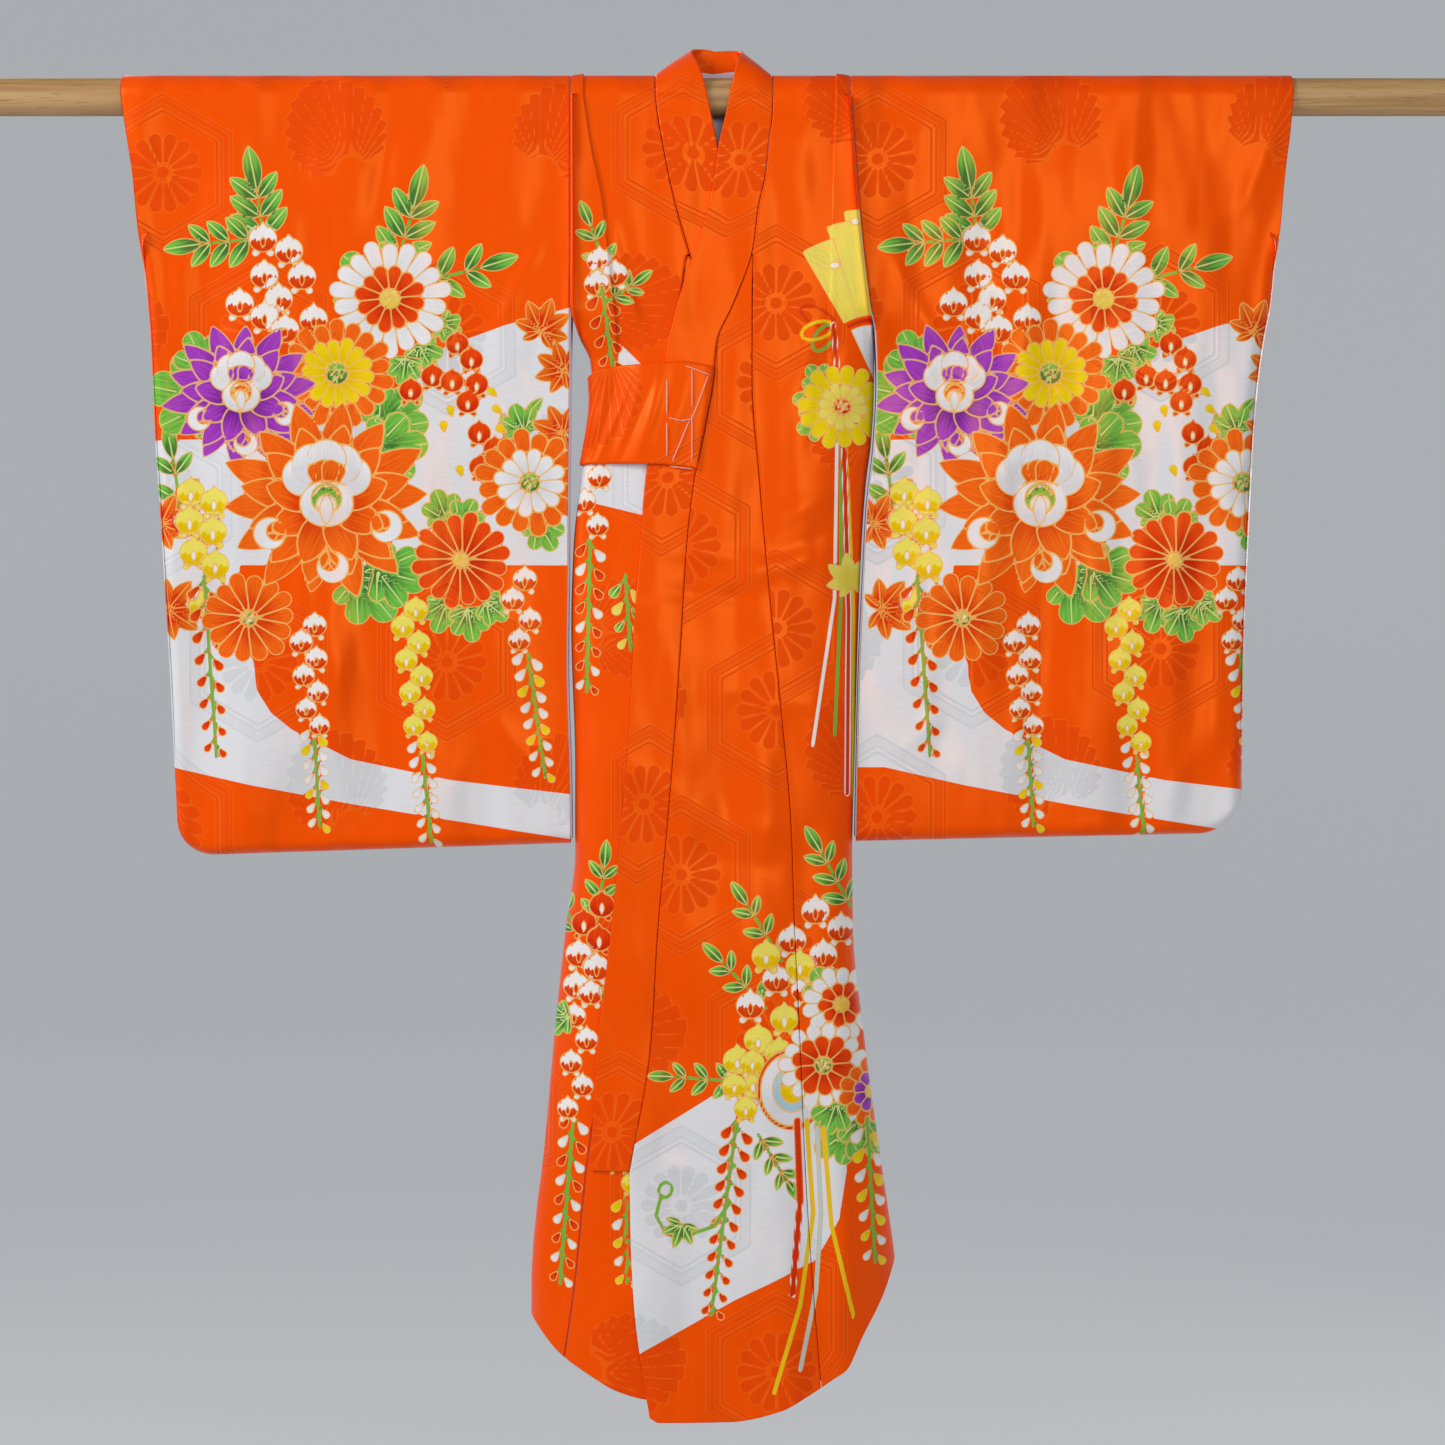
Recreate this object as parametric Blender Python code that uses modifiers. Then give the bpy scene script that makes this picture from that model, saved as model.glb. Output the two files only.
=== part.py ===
"""A child's long-sleeved kimono hung over a round wooden rod.

Metres, +Z up, +X to the viewer's right, the front towards -Y. The origin is on the rod's axis at the middle of
the garment. Right and left in the names are the wearer's, so the right sleeve is at -X.

Each cloth piece is a sheet of rings worked out from the tables below and given its thickness by Solidify. The
tables are in millimetres. "drop" is the distance below the rod's axis.
"""

import math

import bmesh
import bpy
import numpy as np
from mathutils import Matrix

MM = 0.001
ROD_RADIUS = 14.5
ROD_LENGTH = 1200.0
CLOTH = 1.6
LINING = 1.0
FOLDED_CLOTH = 2.2
SEAM = 0.35
FOLD_RADIUS = ROD_RADIUS + SEAM + CLOTH
LAYER_STEP = 3.6
LAYER_STEP_DROP = 36.0
MIDDLE = 4.0
ROUNDNESS = 2.8
SLIT_TOP = 163.0
SLIT_END = 206.0
COLLAR_END = 829.0
OVERLAP_POINT = 126.0
HEM_DROP = 1020.0
HEM_START = 730.0

DROPS = (18, 36, 60, 90, 119, 163, 185, 206, 236, 268, 300, 350, 410, 480, 560, 645, 730, 829, 885, 930, 975,
         1020)

# The body's two sides and its depth before and behind the rod's axis.
BODY = {
    "drop": (0, 60, 119, 163, 185, 206, 236, 268, 300, 350, 410, 520, 585, 645, 730, 829, 885, 930, 975, 1020),
    "right_side": (-104.7, -104.7, -104.7, -104.7, -99, -90, -88, -92, -97.5, -103, -104.7, -101.6, -101.6,
                   -109.0, -118.0, -126.3, -131.7, -134.4, -135.5, -135.5),
    "left_side": (111.7, 115.7, 121, 126.3, 129, 130.5, 130, 128, 124, 120.5, 118, 115, 113.4, 114, 122.7,
                  134.7, 140.1, 143.2, 145.2, 146.3),
    "front": (16.45, 16.6, 17.9, 19, 20, 20.5, 21, 21, 21.5, 23, 25, 28, 30, 32, 34, 37, 39, 40, 41, 42),
    "back": (16.45, 16.8, 17.5, 18, 18.5, 18.8, 19.5, 20, 21, 23, 26, 30, 32, 34, 37, 41, 43, 44, 45, 46),
}

# The lines where panels meet and end on the front. The right front lies under the left.
FRONT_LINES = {
    "drop": (0, 18, 36, 60, 90, 119, 163, 192, 222, 256, 300, 350, 410, 480, 560, 645, 730, 829),
    "left_collar_edge": (18.1, 14.6, 10.4, 6.9, 1.5, -7.7, -22, -29, -33.5, -39, -47, -50.8, -55.4, -58.5,
                         -64.7, -73, -83, -89.3),
    "left_collar_seam": (51.6, 50.8, 48.5, 46.2, 40, 36.2, 21, 8.5, 5.5, -0.5, -9.2, -15, -18.5, -23.1,
                         -29.3, -37, -42, -58.5),
    "right_collar_edge": (0.8, 4.6, 8.5, 12.3, 17, 24, 37, 44, 49, 54, 60, 65, 69, 72, 76, 80, 84, 88),
    "right_collar_seam": (-39.3, -37, -33.9, -29.3, -22.3, -13.9, -1, 7, 11.5, 16.5, 22, 27, 31, 34, 38, 42,
                          46, 50),
}
OVERLAP_LINES = {
    "drop": (119, 163, 222, 300, 410, 480, 560, 645, 730, 829, 885, 930, 975, 1020),
    "left_seam": (36.2, 35.6, 35.4, 41, 51, 58, 65, 68, 72, 76, 79, 82, 85, 88),
    "right_seam": (-13.9, -20, -24, -27, -36, -44, -55, -66, -77, -91, -96, -99.5, -104, -108.5),
}
LEFT_FRONT_EDGE = {"drop": (829, 885, 930, 975, 1020), "x": (-58.5, -57.5, -55, -50, -43)}
RIGHT_FRONT_EDGE = {"drop": (829, 885, 930, 975, 1020), "x": (88, 90, 91, 92, 93)}

# The hem's height along X, for the two fronts and the back.
LEFT_HEM = {
    "x": (-43, -36, 18.5, 57.8, 79.3, 98.6, 107.8, 120, 137, 146.3),
    "z": (-1015.6, -1019.5, -1018.7, -1010, -998.7, -986, -980, -956, -924, -899),
}
RIGHT_HEM = {
    "x": (-135.5, -112.4, -87, -63, -46, 0, 60, 95),
    "z": (-943, -969, -985.6, -998, -1002.5, -1006, -1000, -985),
}
BACK_HEM = {"x": (-135.5, -100, 4, 110, 146.3), "z": (-943, -958, -966, -940, -899)}

# The neck, by the turn round the rod from its front: the seam's X and the collar's free edge on each side.
NECK = {
    "turn": (0, 18, 36, 54, 72, 90, 108, 124, 138, 148),
    "left_seam_x": (51.6, 51.6, 51.6, 51.4, 51, 50, 47, 40, 27, 4),
    "right_seam_x": (-39.3, -39.4, -39.5, -39.5, -39.5, -39.3, -37, -30.5, -18, 4),
    "left_edge": ((18.1, -17.5, 1), (19.8, -17.5, 7), (21.5, -17, 15), (23.5, -15, 23), (25.5, -10, 29.5),
                  (27.3, -2, 34), (27.8, 6, 37), (25.5, 13, 39), (19, 18.5, 39.8), (7, 20.5, 39.5)),
    "right_edge": ((0.8, -17.5, 1), (-1, -17.5, 8), (-3.2, -17, 16), (-6.5, -15, 24), (-9.5, -10, 30.5),
                   (-11.5, -2, 35), (-11.5, 6, 38), (-9, 13, 40.5), (-3.5, 18.5, 41.2), (7, 20.5, 39.5)),
}
BEHIND_NECK = (160, 170, 180)

# The shoulder tuck's fold line on each side of the front and the back.
TUCK = {
    "drop": (0, 46, 79, 119, 179, 211, 256, 300),
    "right_x": (-95, -87.8, -80.9, -76, -69.3, -67.8, -66, -66),
    "left_x": (101, 99, 98, 97, 96, 95, 94, 94),
}
TUCK_HEIGHT = 2.2
TUCK_FADES = 176.0
TUCK_END = 216.0

# Soft folds of the body: a ridge along a line from its top to its end, by height above the cloth.
BODY_FOLDS = (
    {"top": (-60, 900), "end": (-78, 1020), "width": 16, "height": 4.0, "face": "both"},
    {"top": (104, 640), "end": (104, 1020), "width": 14, "height": 3.5, "face": "both"},
    {"top": (40, 700), "end": (58, 1020), "width": 20, "height": 3.0, "face": "both"},
    {"top": (-10, 760), "end": (-12, 1020), "width": 22, "height": 3.0, "face": "back"},
    {"top": (-90, 500), "end": (30, 575), "width": 12, "height": 2.0, "face": "front"},
    {"top": (0, 380), "end": (108, 352), "width": 10, "height": 2.0, "face": "front"},
    {"top": (-20, 460), "end": (112, 470), "width": 12, "height": 1.8, "face": "front"},
)

# The sleeves' inner and outer edges.
SLEEVE_EDGES = {
    "drop": (0, 28, 60, 97, 122, 163, 185, 222, 270, 320, 366, 410, 440, 480, 514, 543, 580),
    "right_inner": (-104.7, -104.7, -104.7, -104.7, -104.7, -105, -105.4, -105.8, -106.2, -106.8, -107,
                    -107.6, -107.8, -106.8, -105.4, -104.8, -104.8),
    "right_outer": (-452, -448.1, -443.5, -440, -437.4, -433, -431.2, -429.5, -427.4, -424, -421.2, -418.5,
                    -416.6, -414.5, -412.7, -411, -409),
    "left_inner": (111.7, 113.7, 115.7, 118.5, 121.3, 126.7, 131, 132.8, 130.5, 125, 122.6, 120.4, 119.2, 118,
                   117.1, 116.3, 115.6),
    "left_outer": (453.5, 451.2, 447.5, 444.3, 442, 438, 433.8, 428.5, 424.5, 422, 419.8, 418, 417.2, 416.6,
                   416, 415.5, 415),
}
SLEEVE_DEPTH = {"drop": (0, 60, 160, 350, 580), "depth": (16.45, 14.5, 12, 10.5, 11)}
SLEEVE_BOTTOMS = {
    "right": {"inner": 579, "outer": 589, "corner": 30},
    "left": {"inner": 577.5, "outer": 571, "corner": 34},
}
CUFF_END = 140.0
CUFF_CLOSING = 36.0
SLEEVE_DROPS = (18, 36, 60, 90, 119, 140, 163, 196, 240, 300, 370, 440, 500, 545)
BOTTOM_ROUND = 9.0
LINING_LIFT = 2.6
BOTTOM_PARTS = (0.38, 0.72, 1.0)
EDGE_ROUND = 11.0
SLEEVE_TURNS = (0, 18, 36, 54, 72, 90, 108, 126, 144, 162, 180)
SLEEVE_COLUMNS = 13

# Vertical soft folds of a sleeve: place across it, width, and height at the bottom, front and back.
SLEEVE_FOLDS = {
    "across": (0.13, 0.36, 0.58, 0.80),
    "spread": (0.060, 0.085, 0.075, 0.060),
    "front": (3.5, 2.6, 4.0, 3.0),
    "back": (3.0, 3.6, 2.4, 3.4),
    "starts": (150, 60, 110, 40),
}

# The tie's edges along the front, and its length across the back.
TIE_EDGES = {
    "x": (-112, -89, -80, -68, -32, -20, 8),
    "top": (219, 217, 213, 211, 208.7, 207.5, 212),
    "bottom": (286, 286, 286, 286, 287.5, 289, 293),
}
TIE_FRONT_END = {"top": 6.0, "bottom": -6.5}
TIE_BACK_END = 62.0
TIE_LIFT = 1.2
TIE_SETTLES = 42.0
TIE_FOLD_SPREAD = 0.035
TIE_FOLDS = {"along": (0.10, 0.22, 0.36), "lean": (0.10, 0.12, 0.14), "height": (1.6, 1.8, 1.4)}

BACK_LINING = {"left": 46.0, "right": -34.0, "top": 17.0, "bottom": 120.0}

ORANGE = (0.93, 0.20, 0.02)
LILAC_WHITE = (0.72, 0.68, 0.74)
PALE_WOOD = (0.60, 0.40, 0.22)


def read(table, column, at, key="drop"):
    """The value of a table's column at a place, along straight lines between its rows."""
    return np.interp(at, table[key], table[column])


def smooth(value):
    """0 below 0, 1 above 1, and an even curve between."""
    value = np.clip(value, 0.0, 1.0)
    return value * value * (3.0 - 2.0 * value)


def material(name, colour, roughness):
    made = bpy.data.materials.new(name)
    made.use_nodes = True
    shader = made.node_tree.nodes["Principled BSDF"]
    shader.inputs["Base Color"].default_value = (*colour, 1.0)
    shader.inputs["Roughness"].default_value = roughness
    shader.inputs["Metallic"].default_value = 0.0
    return made


def sheet(name, rows, thickness, finish, side=-1.0, seams=None):
    """An object from rows of points in millimetres, given its thickness. A seam closes where points coincide."""
    rows = np.asarray(rows, float)
    count, across = rows.shape[:2]
    index = np.arange(count * across).reshape(count, across)
    quads = np.stack([index[:-1, :-1], index[:-1, 1:], index[1:, 1:], index[1:, :-1]], axis=-1).reshape(-1, 4)
    mesh = bpy.data.meshes.new(name)
    mesh.from_pydata((rows.reshape(-1, 3) * MM).tolist(), [], quads.tolist())
    if seams:
        shape = bmesh.new()
        shape.from_mesh(mesh)
        bmesh.ops.remove_doubles(shape, verts=shape.verts, dist=0.01 * MM)
        shape.to_mesh(mesh)
        shape.free()
    made = bpy.data.objects.new(name, mesh)
    mesh.materials.append(finish)
    mesh.shade_smooth()
    wall = made.modifiers.new("cloth_thickness", "SOLIDIFY")
    wall.thickness = thickness * MM
    wall.offset = side
    wall.use_even_offset = True
    wall.use_quality_normals = True
    collection.objects.link(made)
    return made


def layer_step(drop):
    """How far the top front lies before the under front."""
    return LAYER_STEP * smooth(np.asarray(drop) / LAYER_STEP_DROP)


def ring_sizes(drop, layer, face):
    """Half-widths to -X and +X and the depth of the body's ring, for the under or the top layer."""
    step = layer_step(drop)
    right = MIDDLE - read(BODY, "right_side", drop)
    left = read(BODY, "left_side", drop) - MIDDLE
    depth = read(BODY, "front" if face == "front" else "back", drop)
    if face == "front" and layer == "top":
        return right + step, left, depth + step
    if face == "front":
        return right, left - step, depth
    return right, left, depth


def ring_angle(x, drop, layer, face):
    """The angle at which a ring passes X: 0 at the +X side and pi at the -X side."""
    right, left, _ = ring_sizes(drop, layer, face)
    half = np.where(np.asarray(x) < MIDDLE, right, left)
    share = np.clip(np.abs(np.asarray(x) - MIDDLE) / half, 0.0, 1.0) ** (ROUNDNESS / 2.0)
    angle = np.arccos(share)
    return np.where(np.asarray(x) < MIDDLE, math.pi - angle, angle)


def fold_height(x, drop, face):
    """The body's soft folds: a rounded ridge along each line, fading at its two ends."""
    height = np.zeros(np.broadcast(x, drop).shape)
    for fold in BODY_FOLDS:
        if fold["face"] not in (face, "both"):
            continue
        start = np.array(fold["top"], float)
        way = np.array(fold["end"], float) - start
        along = ((x - start[0]) * way[0] + (drop - start[1]) * way[1]) / way.dot(way)
        off = np.hypot(x - start[0] - along * way[0], drop - start[1] - along * way[1])
        fade = smooth(along * 3.0) * (1.0 if fold["end"][1] >= HEM_DROP else smooth((1.0 - along) * 3.0))
        height = height + fold["height"] * fade * np.exp(-((off / fold["width"]) ** 2))
    return height


def body_points(angle, drop, layer, face, lift=0.0):
    """Points of the body at ring angles and one drop, moved outwards by lift."""
    angle = np.asarray(angle, float)
    right, left, depth = ring_sizes(drop, layer, face)
    power = 2.0 / ROUNDNESS
    cosine = np.cos(angle)
    half = np.where(cosine < 0.0, right, left) + lift
    x = MIDDLE + half * np.sign(cosine) * np.abs(cosine) ** power
    rounded = np.abs(np.sin(angle)) ** power
    closing = smooth((drop - SLIT_TOP) / (SLIT_END - SLIT_TOP))
    y = (depth + lift) * (1.0 - closing + closing * rounded) + fold_height(x, drop, face) * rounded
    hem = {("front", "top"): LEFT_HEM, ("front", "under"): RIGHT_HEM}.get((face, layer), BACK_HEM)
    pull = np.clip((drop - HEM_START) / (HEM_DROP - HEM_START), 0.0, 1.0) ** 2
    z = -drop + pull * (HEM_DROP + np.interp(x, hem["x"], hem["z"]))
    return np.stack([x, -y if face == "front" else y, z], axis=-1)


def over_rod(x, turn, radius):
    """Points on the rod's upper side at one turn from its front."""
    turn = math.radians(turn)
    x = np.asarray(x, float)
    flat = np.full_like(x, -radius * math.cos(turn))
    return np.stack([x, flat, np.full_like(x, radius * math.sin(turn))], axis=-1)


def tucked_shares(fold_share):
    """Places across a panel from its inner edge to its side, close together at the tuck's fold line."""
    inner = np.linspace(0.0, fold_share - 0.012, 5)
    outer = fold_share + (1.0 - fold_share) * np.array([0.0, 0.12, 0.36, 0.62, 0.82, 1.0])
    return np.concatenate([inner, outer])


def tuck_lift(shares, fold_share, drop):
    """The tuck's height at each place: nothing inside its fold line, and less towards the side."""
    strength = 1.0 - smooth((drop - TUCK_FADES) / (TUCK_END - TUCK_FADES))
    return np.where(shares >= fold_share, TUCK_HEIGHT * strength * (1.0 - shares ** 6), 0.0)


def body_panel(side):
    """The front from hem to shoulder, over the rod and down the back, closed along the side below its slit."""
    layer = "top" if side == "left" else "under"
    away = 1.0 if side == "left" else -1.0
    side_angle = 0.0 if side == "left" else math.pi
    tuck_column = side + "_x"

    def wall(drop, face):
        if face == "back":
            inner = MIDDLE + away * SEAM / 2.0
        elif drop < OVERLAP_POINT:
            inner = read(FRONT_LINES, side + "_collar_seam", drop) + away * SEAM
        else:
            inner = read(OVERLAP_LINES, side + "_seam", drop) + away * SEAM
        start = float(ring_angle(inner, drop, layer, face))
        fold = float(ring_angle(read(TUCK, tuck_column, drop), drop, layer, face))
        fold_share = np.clip((fold - start) / (side_angle - start), 0.25, 0.8)
        shares = tucked_shares(fold_share)
        angles = start + (side_angle - start) * shares
        points = body_points(angles, drop, layer, face)
        lift = tuck_lift(shares, fold_share, drop)
        points[:, 1] += lift if face == "back" else -lift
        return points

    def shoulder(row):
        turn = NECK["turn"][row] if row < len(NECK["turn"]) else BEHIND_NECK[row - len(NECK["turn"])]
        inner = NECK[side + "_seam_x"][min(row, len(NECK["turn"]) - 1)] + away * SEAM / 2.0
        edge = BODY[side + "_side"][0]
        fold_share = np.clip((TUCK[tuck_column][0] - inner) / (edge - inner), 0.25, 0.8)
        shares = tucked_shares(fold_share)
        lift = tuck_lift(shares, fold_share, 0.0)
        points = over_rod(inner + (edge - inner) * shares, turn, FOLD_RADIUS)
        outward = over_rod(np.zeros(len(shares)), turn, 1.0)
        return points + outward * lift[:, None]

    rows = [wall(drop, "front") for drop in reversed(DROPS)]
    rows += [shoulder(row) for row in range(len(NECK["turn"]) + len(BEHIND_NECK))]
    rows += [wall(drop, "back") for drop in DROPS]
    side_seam = [row for row, drop in enumerate(reversed(DROPS)) if drop >= SLIT_END]
    for row in side_seam:
        rows[len(rows) - 1 - row][-1] = rows[row][-1]
    return rows


def overlap_panel(side):
    """The long wedge between a body front and the collar, down to the hem."""
    layer = "top" if side == "left" else "under"
    away = 1.0 if side == "left" else -1.0
    front_edge = LEFT_FRONT_EDGE if side == "left" else RIGHT_FRONT_EDGE
    rows = []
    for drop in (OVERLAP_POINT, *[drop for drop in DROPS if drop > OVERLAP_POINT]):
        seam = read(OVERLAP_LINES, side + "_seam", drop)
        if drop <= COLLAR_END:
            edge = read(FRONT_LINES, side + "_collar_seam", drop) + away * SEAM
        else:
            edge = np.interp(drop, front_edge["drop"], front_edge["x"])
        ends = ring_angle(np.array([edge, seam]), drop, layer, "front")
        rows.append(body_points(np.linspace(ends[0], ends[1], 5), drop, layer, "front"))
    return rows


def collar_rows():
    """The collar from the left front's end up to the neck, round it and down to the right front's end."""
    drops = [drop for drop in DROPS if drop <= COLLAR_END]
    shares = np.array([0.0, 0.3, 0.65, 1.0])

    def on_front(side, drop):
        layer = "top" if side == "left" else "under"
        seam = read(FRONT_LINES, side + "_collar_seam", drop)
        edge = read(FRONT_LINES, side + "_collar_edge", drop)
        ends = ring_angle(np.array([seam, edge]), drop, layer, "front")
        return body_points(ends[0] + (ends[1] - ends[0]) * shares, drop, layer, "front")

    def at_neck(side, row):
        away = 1.0 if side == "left" else -1.0
        seam = over_rod(NECK[side + "_seam_x"][row] - away * SEAM, NECK["turn"][row], FOLD_RADIUS + 0.6)
        edge = np.array(NECK[side + "_edge"][row], float)
        return seam + (edge - seam) * shares[:, None]

    neck = range(len(NECK["turn"]))
    rows = [on_front("left", drop) for drop in reversed(drops)]
    rows += [at_neck("left", row) for row in neck]
    rows += [at_neck("right", row) for row in reversed(neck[:-1])]
    rows += [on_front("right", drop) for drop in drops]
    return rows


def sleeve_depth(drop, shares, side, face):
    """Half the sleeve's depth: as deep as the body at the armhole, and its own further out."""
    own = read(SLEEVE_DEPTH, "depth", drop)
    body = read(BODY, face, drop) + (layer_step(drop) if (side, face) == ("left", "front") else 0.0)
    held = (1.0 - smooth(np.asarray(shares) / 0.3)) * (1.0 - smooth((drop - SLIT_TOP) / 60.0))
    return own + (body - own) * held


def sleeve_inner(side, drop):
    """The sleeve's inner edge: along the armhole seam, and free below it."""
    away = 1.0 if side == "left" else -1.0
    if drop <= SLIT_TOP:
        return read(BODY, side + "_side", drop) + away * SEAM
    return read(SLEEVE_EDGES, side + "_inner", drop)


def sleeve_folds(shares, drop, face):
    height = np.zeros_like(shares)
    for across, spread, deep, starts in zip(
        SLEEVE_FOLDS["across"], SLEEVE_FOLDS["spread"], SLEEVE_FOLDS[face], SLEEVE_FOLDS["starts"]
    ):
        height += deep * smooth((drop - starts) / 330.0) * np.exp(-(((shares - across) / spread) ** 2))
    return height


def sleeve_shares():
    """Places across a sleeve, evenly to near its outer edge and close together there."""
    even = np.linspace(0.0, 0.955, SLEEVE_COLUMNS)
    return np.concatenate([even, [0.978, 0.992, 1.0]])


def sleeve_wall(side, drop, face, inset=0.0, shares=None):
    """A row of points of a sleeve's front or back. Its outer edge closes below the cuff and its bottom rounds in."""
    shares = sleeve_shares() if shares is None else shares
    bottom = SLEEVE_BOTTOMS[side]
    inner = sleeve_inner(side, drop)
    outer = read(SLEEVE_EDGES, side + "_outer", drop)
    x = inner + (outer - inner) * shares
    width = abs(outer - inner)
    lowest = bottom["inner"] + (bottom["outer"] - bottom["inner"]) * shares
    from_edge = width * (1.0 - shares)
    corner = bottom["corner"]
    reach = np.clip(corner - from_edge, 0.0, corner)
    lowest = lowest - (corner - np.sqrt(corner**2 - reach**2))
    last = SLEEVE_DROPS[-1]
    if drop <= last:
        pull = np.clip((drop - 440.0) / (last - 440.0), 0.0, 1.0) ** 2
        down = drop + pull * (lowest - BOTTOM_ROUND - last)
        end_round = 1.0
    else:
        part = drop - last
        down = lowest - BOTTOM_ROUND + BOTTOM_ROUND * math.sin(part * math.pi / 2.0)
        end_round = math.cos(part * math.pi / 2.0)
    closing = smooth((drop - CUFF_END + CUFF_CLOSING) / CUFF_CLOSING)
    near = np.clip(1.0 - from_edge / EDGE_ROUND, 0.0, 1.0)
    edge_round = 1.0 - closing + closing * np.sqrt(1.0 - near**2)
    drop_for_depth = min(drop, last)
    y = sleeve_depth(drop_for_depth, shares, side, face) + sleeve_folds(shares, drop_for_depth, face) - inset
    y = y * end_round * edge_round
    down = down - LINING_LIFT * inset * (1.0 - end_round)
    return np.stack([x, -y if face == "front" else y, -down], axis=-1)


def sleeve(side):
    """Up the front from the bottom fold, over the rod and down the back, with the bottom and outer edge closed."""
    shares = sleeve_shares()
    below = [SLEEVE_DROPS[-1] + part for part in reversed(BOTTOM_PARTS)]
    drops = list(reversed(SLEEVE_DROPS))
    inner = sleeve_inner(side, 0.0)
    outer = read(SLEEVE_EDGES, side + "_outer", 0.0)
    rows = [sleeve_wall(side, drop, "front") for drop in below + drops]
    rows += [over_rod(inner + (outer - inner) * shares, turn, FOLD_RADIUS) for turn in SLEEVE_TURNS]
    rows += [sleeve_wall(side, drop, "back") for drop in reversed(below + drops)]
    for row, drop in enumerate(below + drops):
        if drop >= CUFF_END:
            rows[len(rows) - 1 - row][-1] = rows[row][-1]
    rows[-1] = rows[0]
    return rows


def sleeve_lining(side):
    """A strip of lining inside the sleeve's open edge, down the front, under and up the back."""
    shares = np.array([0.003, sleeve_shares()[1]])
    inset = CLOTH + SEAM
    drops = [drop for drop in SLEEVE_DROPS if drop > SLIT_TOP]
    drops += [SLEEVE_DROPS[-1] + part for part in BOTTOM_PARTS]
    rows = [sleeve_wall(side, drop, "front", inset, shares) for drop in drops]
    rows += [sleeve_wall(side, drop, "back", inset, shares) for drop in reversed(drops[:-1])]
    return rows[::-1]


def back_lining():
    """The lining on the inside of the back, seen through the neck."""
    inset = CLOTH + SEAM
    rows = []
    for drop in np.linspace(BACK_LINING["top"], BACK_LINING["bottom"], 6):
        ends = ring_angle(np.array([BACK_LINING["right"], BACK_LINING["left"]]), drop, "under", "back")
        rows.append(body_points(np.linspace(ends[0], ends[1], 6), drop, "under", "back", -inset))
    return rows[::-1]


def tie_drop(x, share):
    """How far below the rod the tie passes X, from its top edge at share 0 to its bottom edge at 1."""
    top = read(TIE_EDGES, "top", x, "x")
    return float(top + (read(TIE_EDGES, "bottom", x, "x") - top) * share)


def tie_rows():
    """The tie from its sewn end on the top front, round the right side and across the back."""
    front = np.linspace(0.0, 1.0, 15)
    back = np.linspace(0.0, 1.0, 13)[1:]
    columns = []
    for share in np.linspace(0.0, 1.0, 6):
        end_x = TIE_FRONT_END["top"] + (TIE_FRONT_END["bottom"] - TIE_FRONT_END["top"]) * share
        drop = tie_drop(end_x, share)
        start = float(ring_angle(end_x, drop, "under", "front"))
        points = []
        for place in front:
            angle = start + (math.pi - start) * place
            x = body_points(angle, drop, "under", "front")[0]
            drop = tie_drop(x, share)
            on_collar = 1.0 - smooth((read(FRONT_LINES, "left_collar_edge", drop) - x) / TIE_SETTLES)
            at = body_points(angle, drop, "under", "front", TIE_LIFT + LAYER_STEP * on_collar)
            for along, lean, height in zip(TIE_FOLDS["along"], TIE_FOLDS["lean"], TIE_FOLDS["height"]):
                off = (place - along - lean * (share - 0.5)) / TIE_FOLD_SPREAD
                at[1] -= height * math.exp(-(off**2)) * math.sin(math.pi * share)
            points.append(at)
        end = float(ring_angle(TIE_BACK_END, drop, "top", "back"))
        for place in back:
            angle = math.pi + (end - math.pi) * place
            points.append(body_points(angle, drop, "under", "back", TIE_LIFT))
        columns.append(points)
    return np.swapaxes(np.array(columns), 0, 1)


def build_rod():
    shape = bmesh.new()
    bmesh.ops.create_cone(
        shape,
        cap_ends=True,
        segments=40,
        radius1=ROD_RADIUS * MM,
        radius2=ROD_RADIUS * MM,
        depth=ROD_LENGTH * MM,
    )
    bmesh.ops.rotate(shape, verts=shape.verts, matrix=Matrix.Rotation(math.pi / 2.0, 3, "Y"))
    mesh = bpy.data.meshes.new("rod")
    shape.to_mesh(mesh)
    shape.free()
    mesh.shade_smooth()
    mesh.set_sharp_from_angle(angle=math.radians(40))
    mesh.materials.append(material("pale_wood", PALE_WOOD, 0.5))
    collection.objects.link(bpy.data.objects.new("rod", mesh))


for old in list(bpy.data.objects):
    bpy.data.objects.remove(old, do_unlink=True)
collection = bpy.data.collections.new("kimono")
bpy.context.scene.collection.children.link(collection)

build_rod()
for side in ("right", "left"):
    turned = 1.0 if side == "left" else -1.0
    silk = material(side + "_silk", ORANGE, 0.42)
    lining = material(side + "_lining_silk", LILAC_WHITE, 0.5)
    sheet("sleeve_" + side, sleeve(side), CLOTH, silk, seams=True, side=-turned)
    sheet("body_" + side, body_panel(side), CLOTH, silk, seams=True, side=-turned)
    sheet("overlap_" + side, overlap_panel(side), CLOTH, silk, side=turned)
    sheet("sleeve_lining_" + side, sleeve_lining(side), LINING, lining, side=-turned)
sheet("collar", collar_rows(), FOLDED_CLOTH, material("collar_silk", ORANGE, 0.4), side=1.0)
sheet("back_lining", back_lining(), LINING, material("back_lining_silk", LILAC_WHITE, 0.5), side=1.0)
sheet("tie", tie_rows(), FOLDED_CLOTH, material("tie_silk", ORANGE, 0.45))
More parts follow.
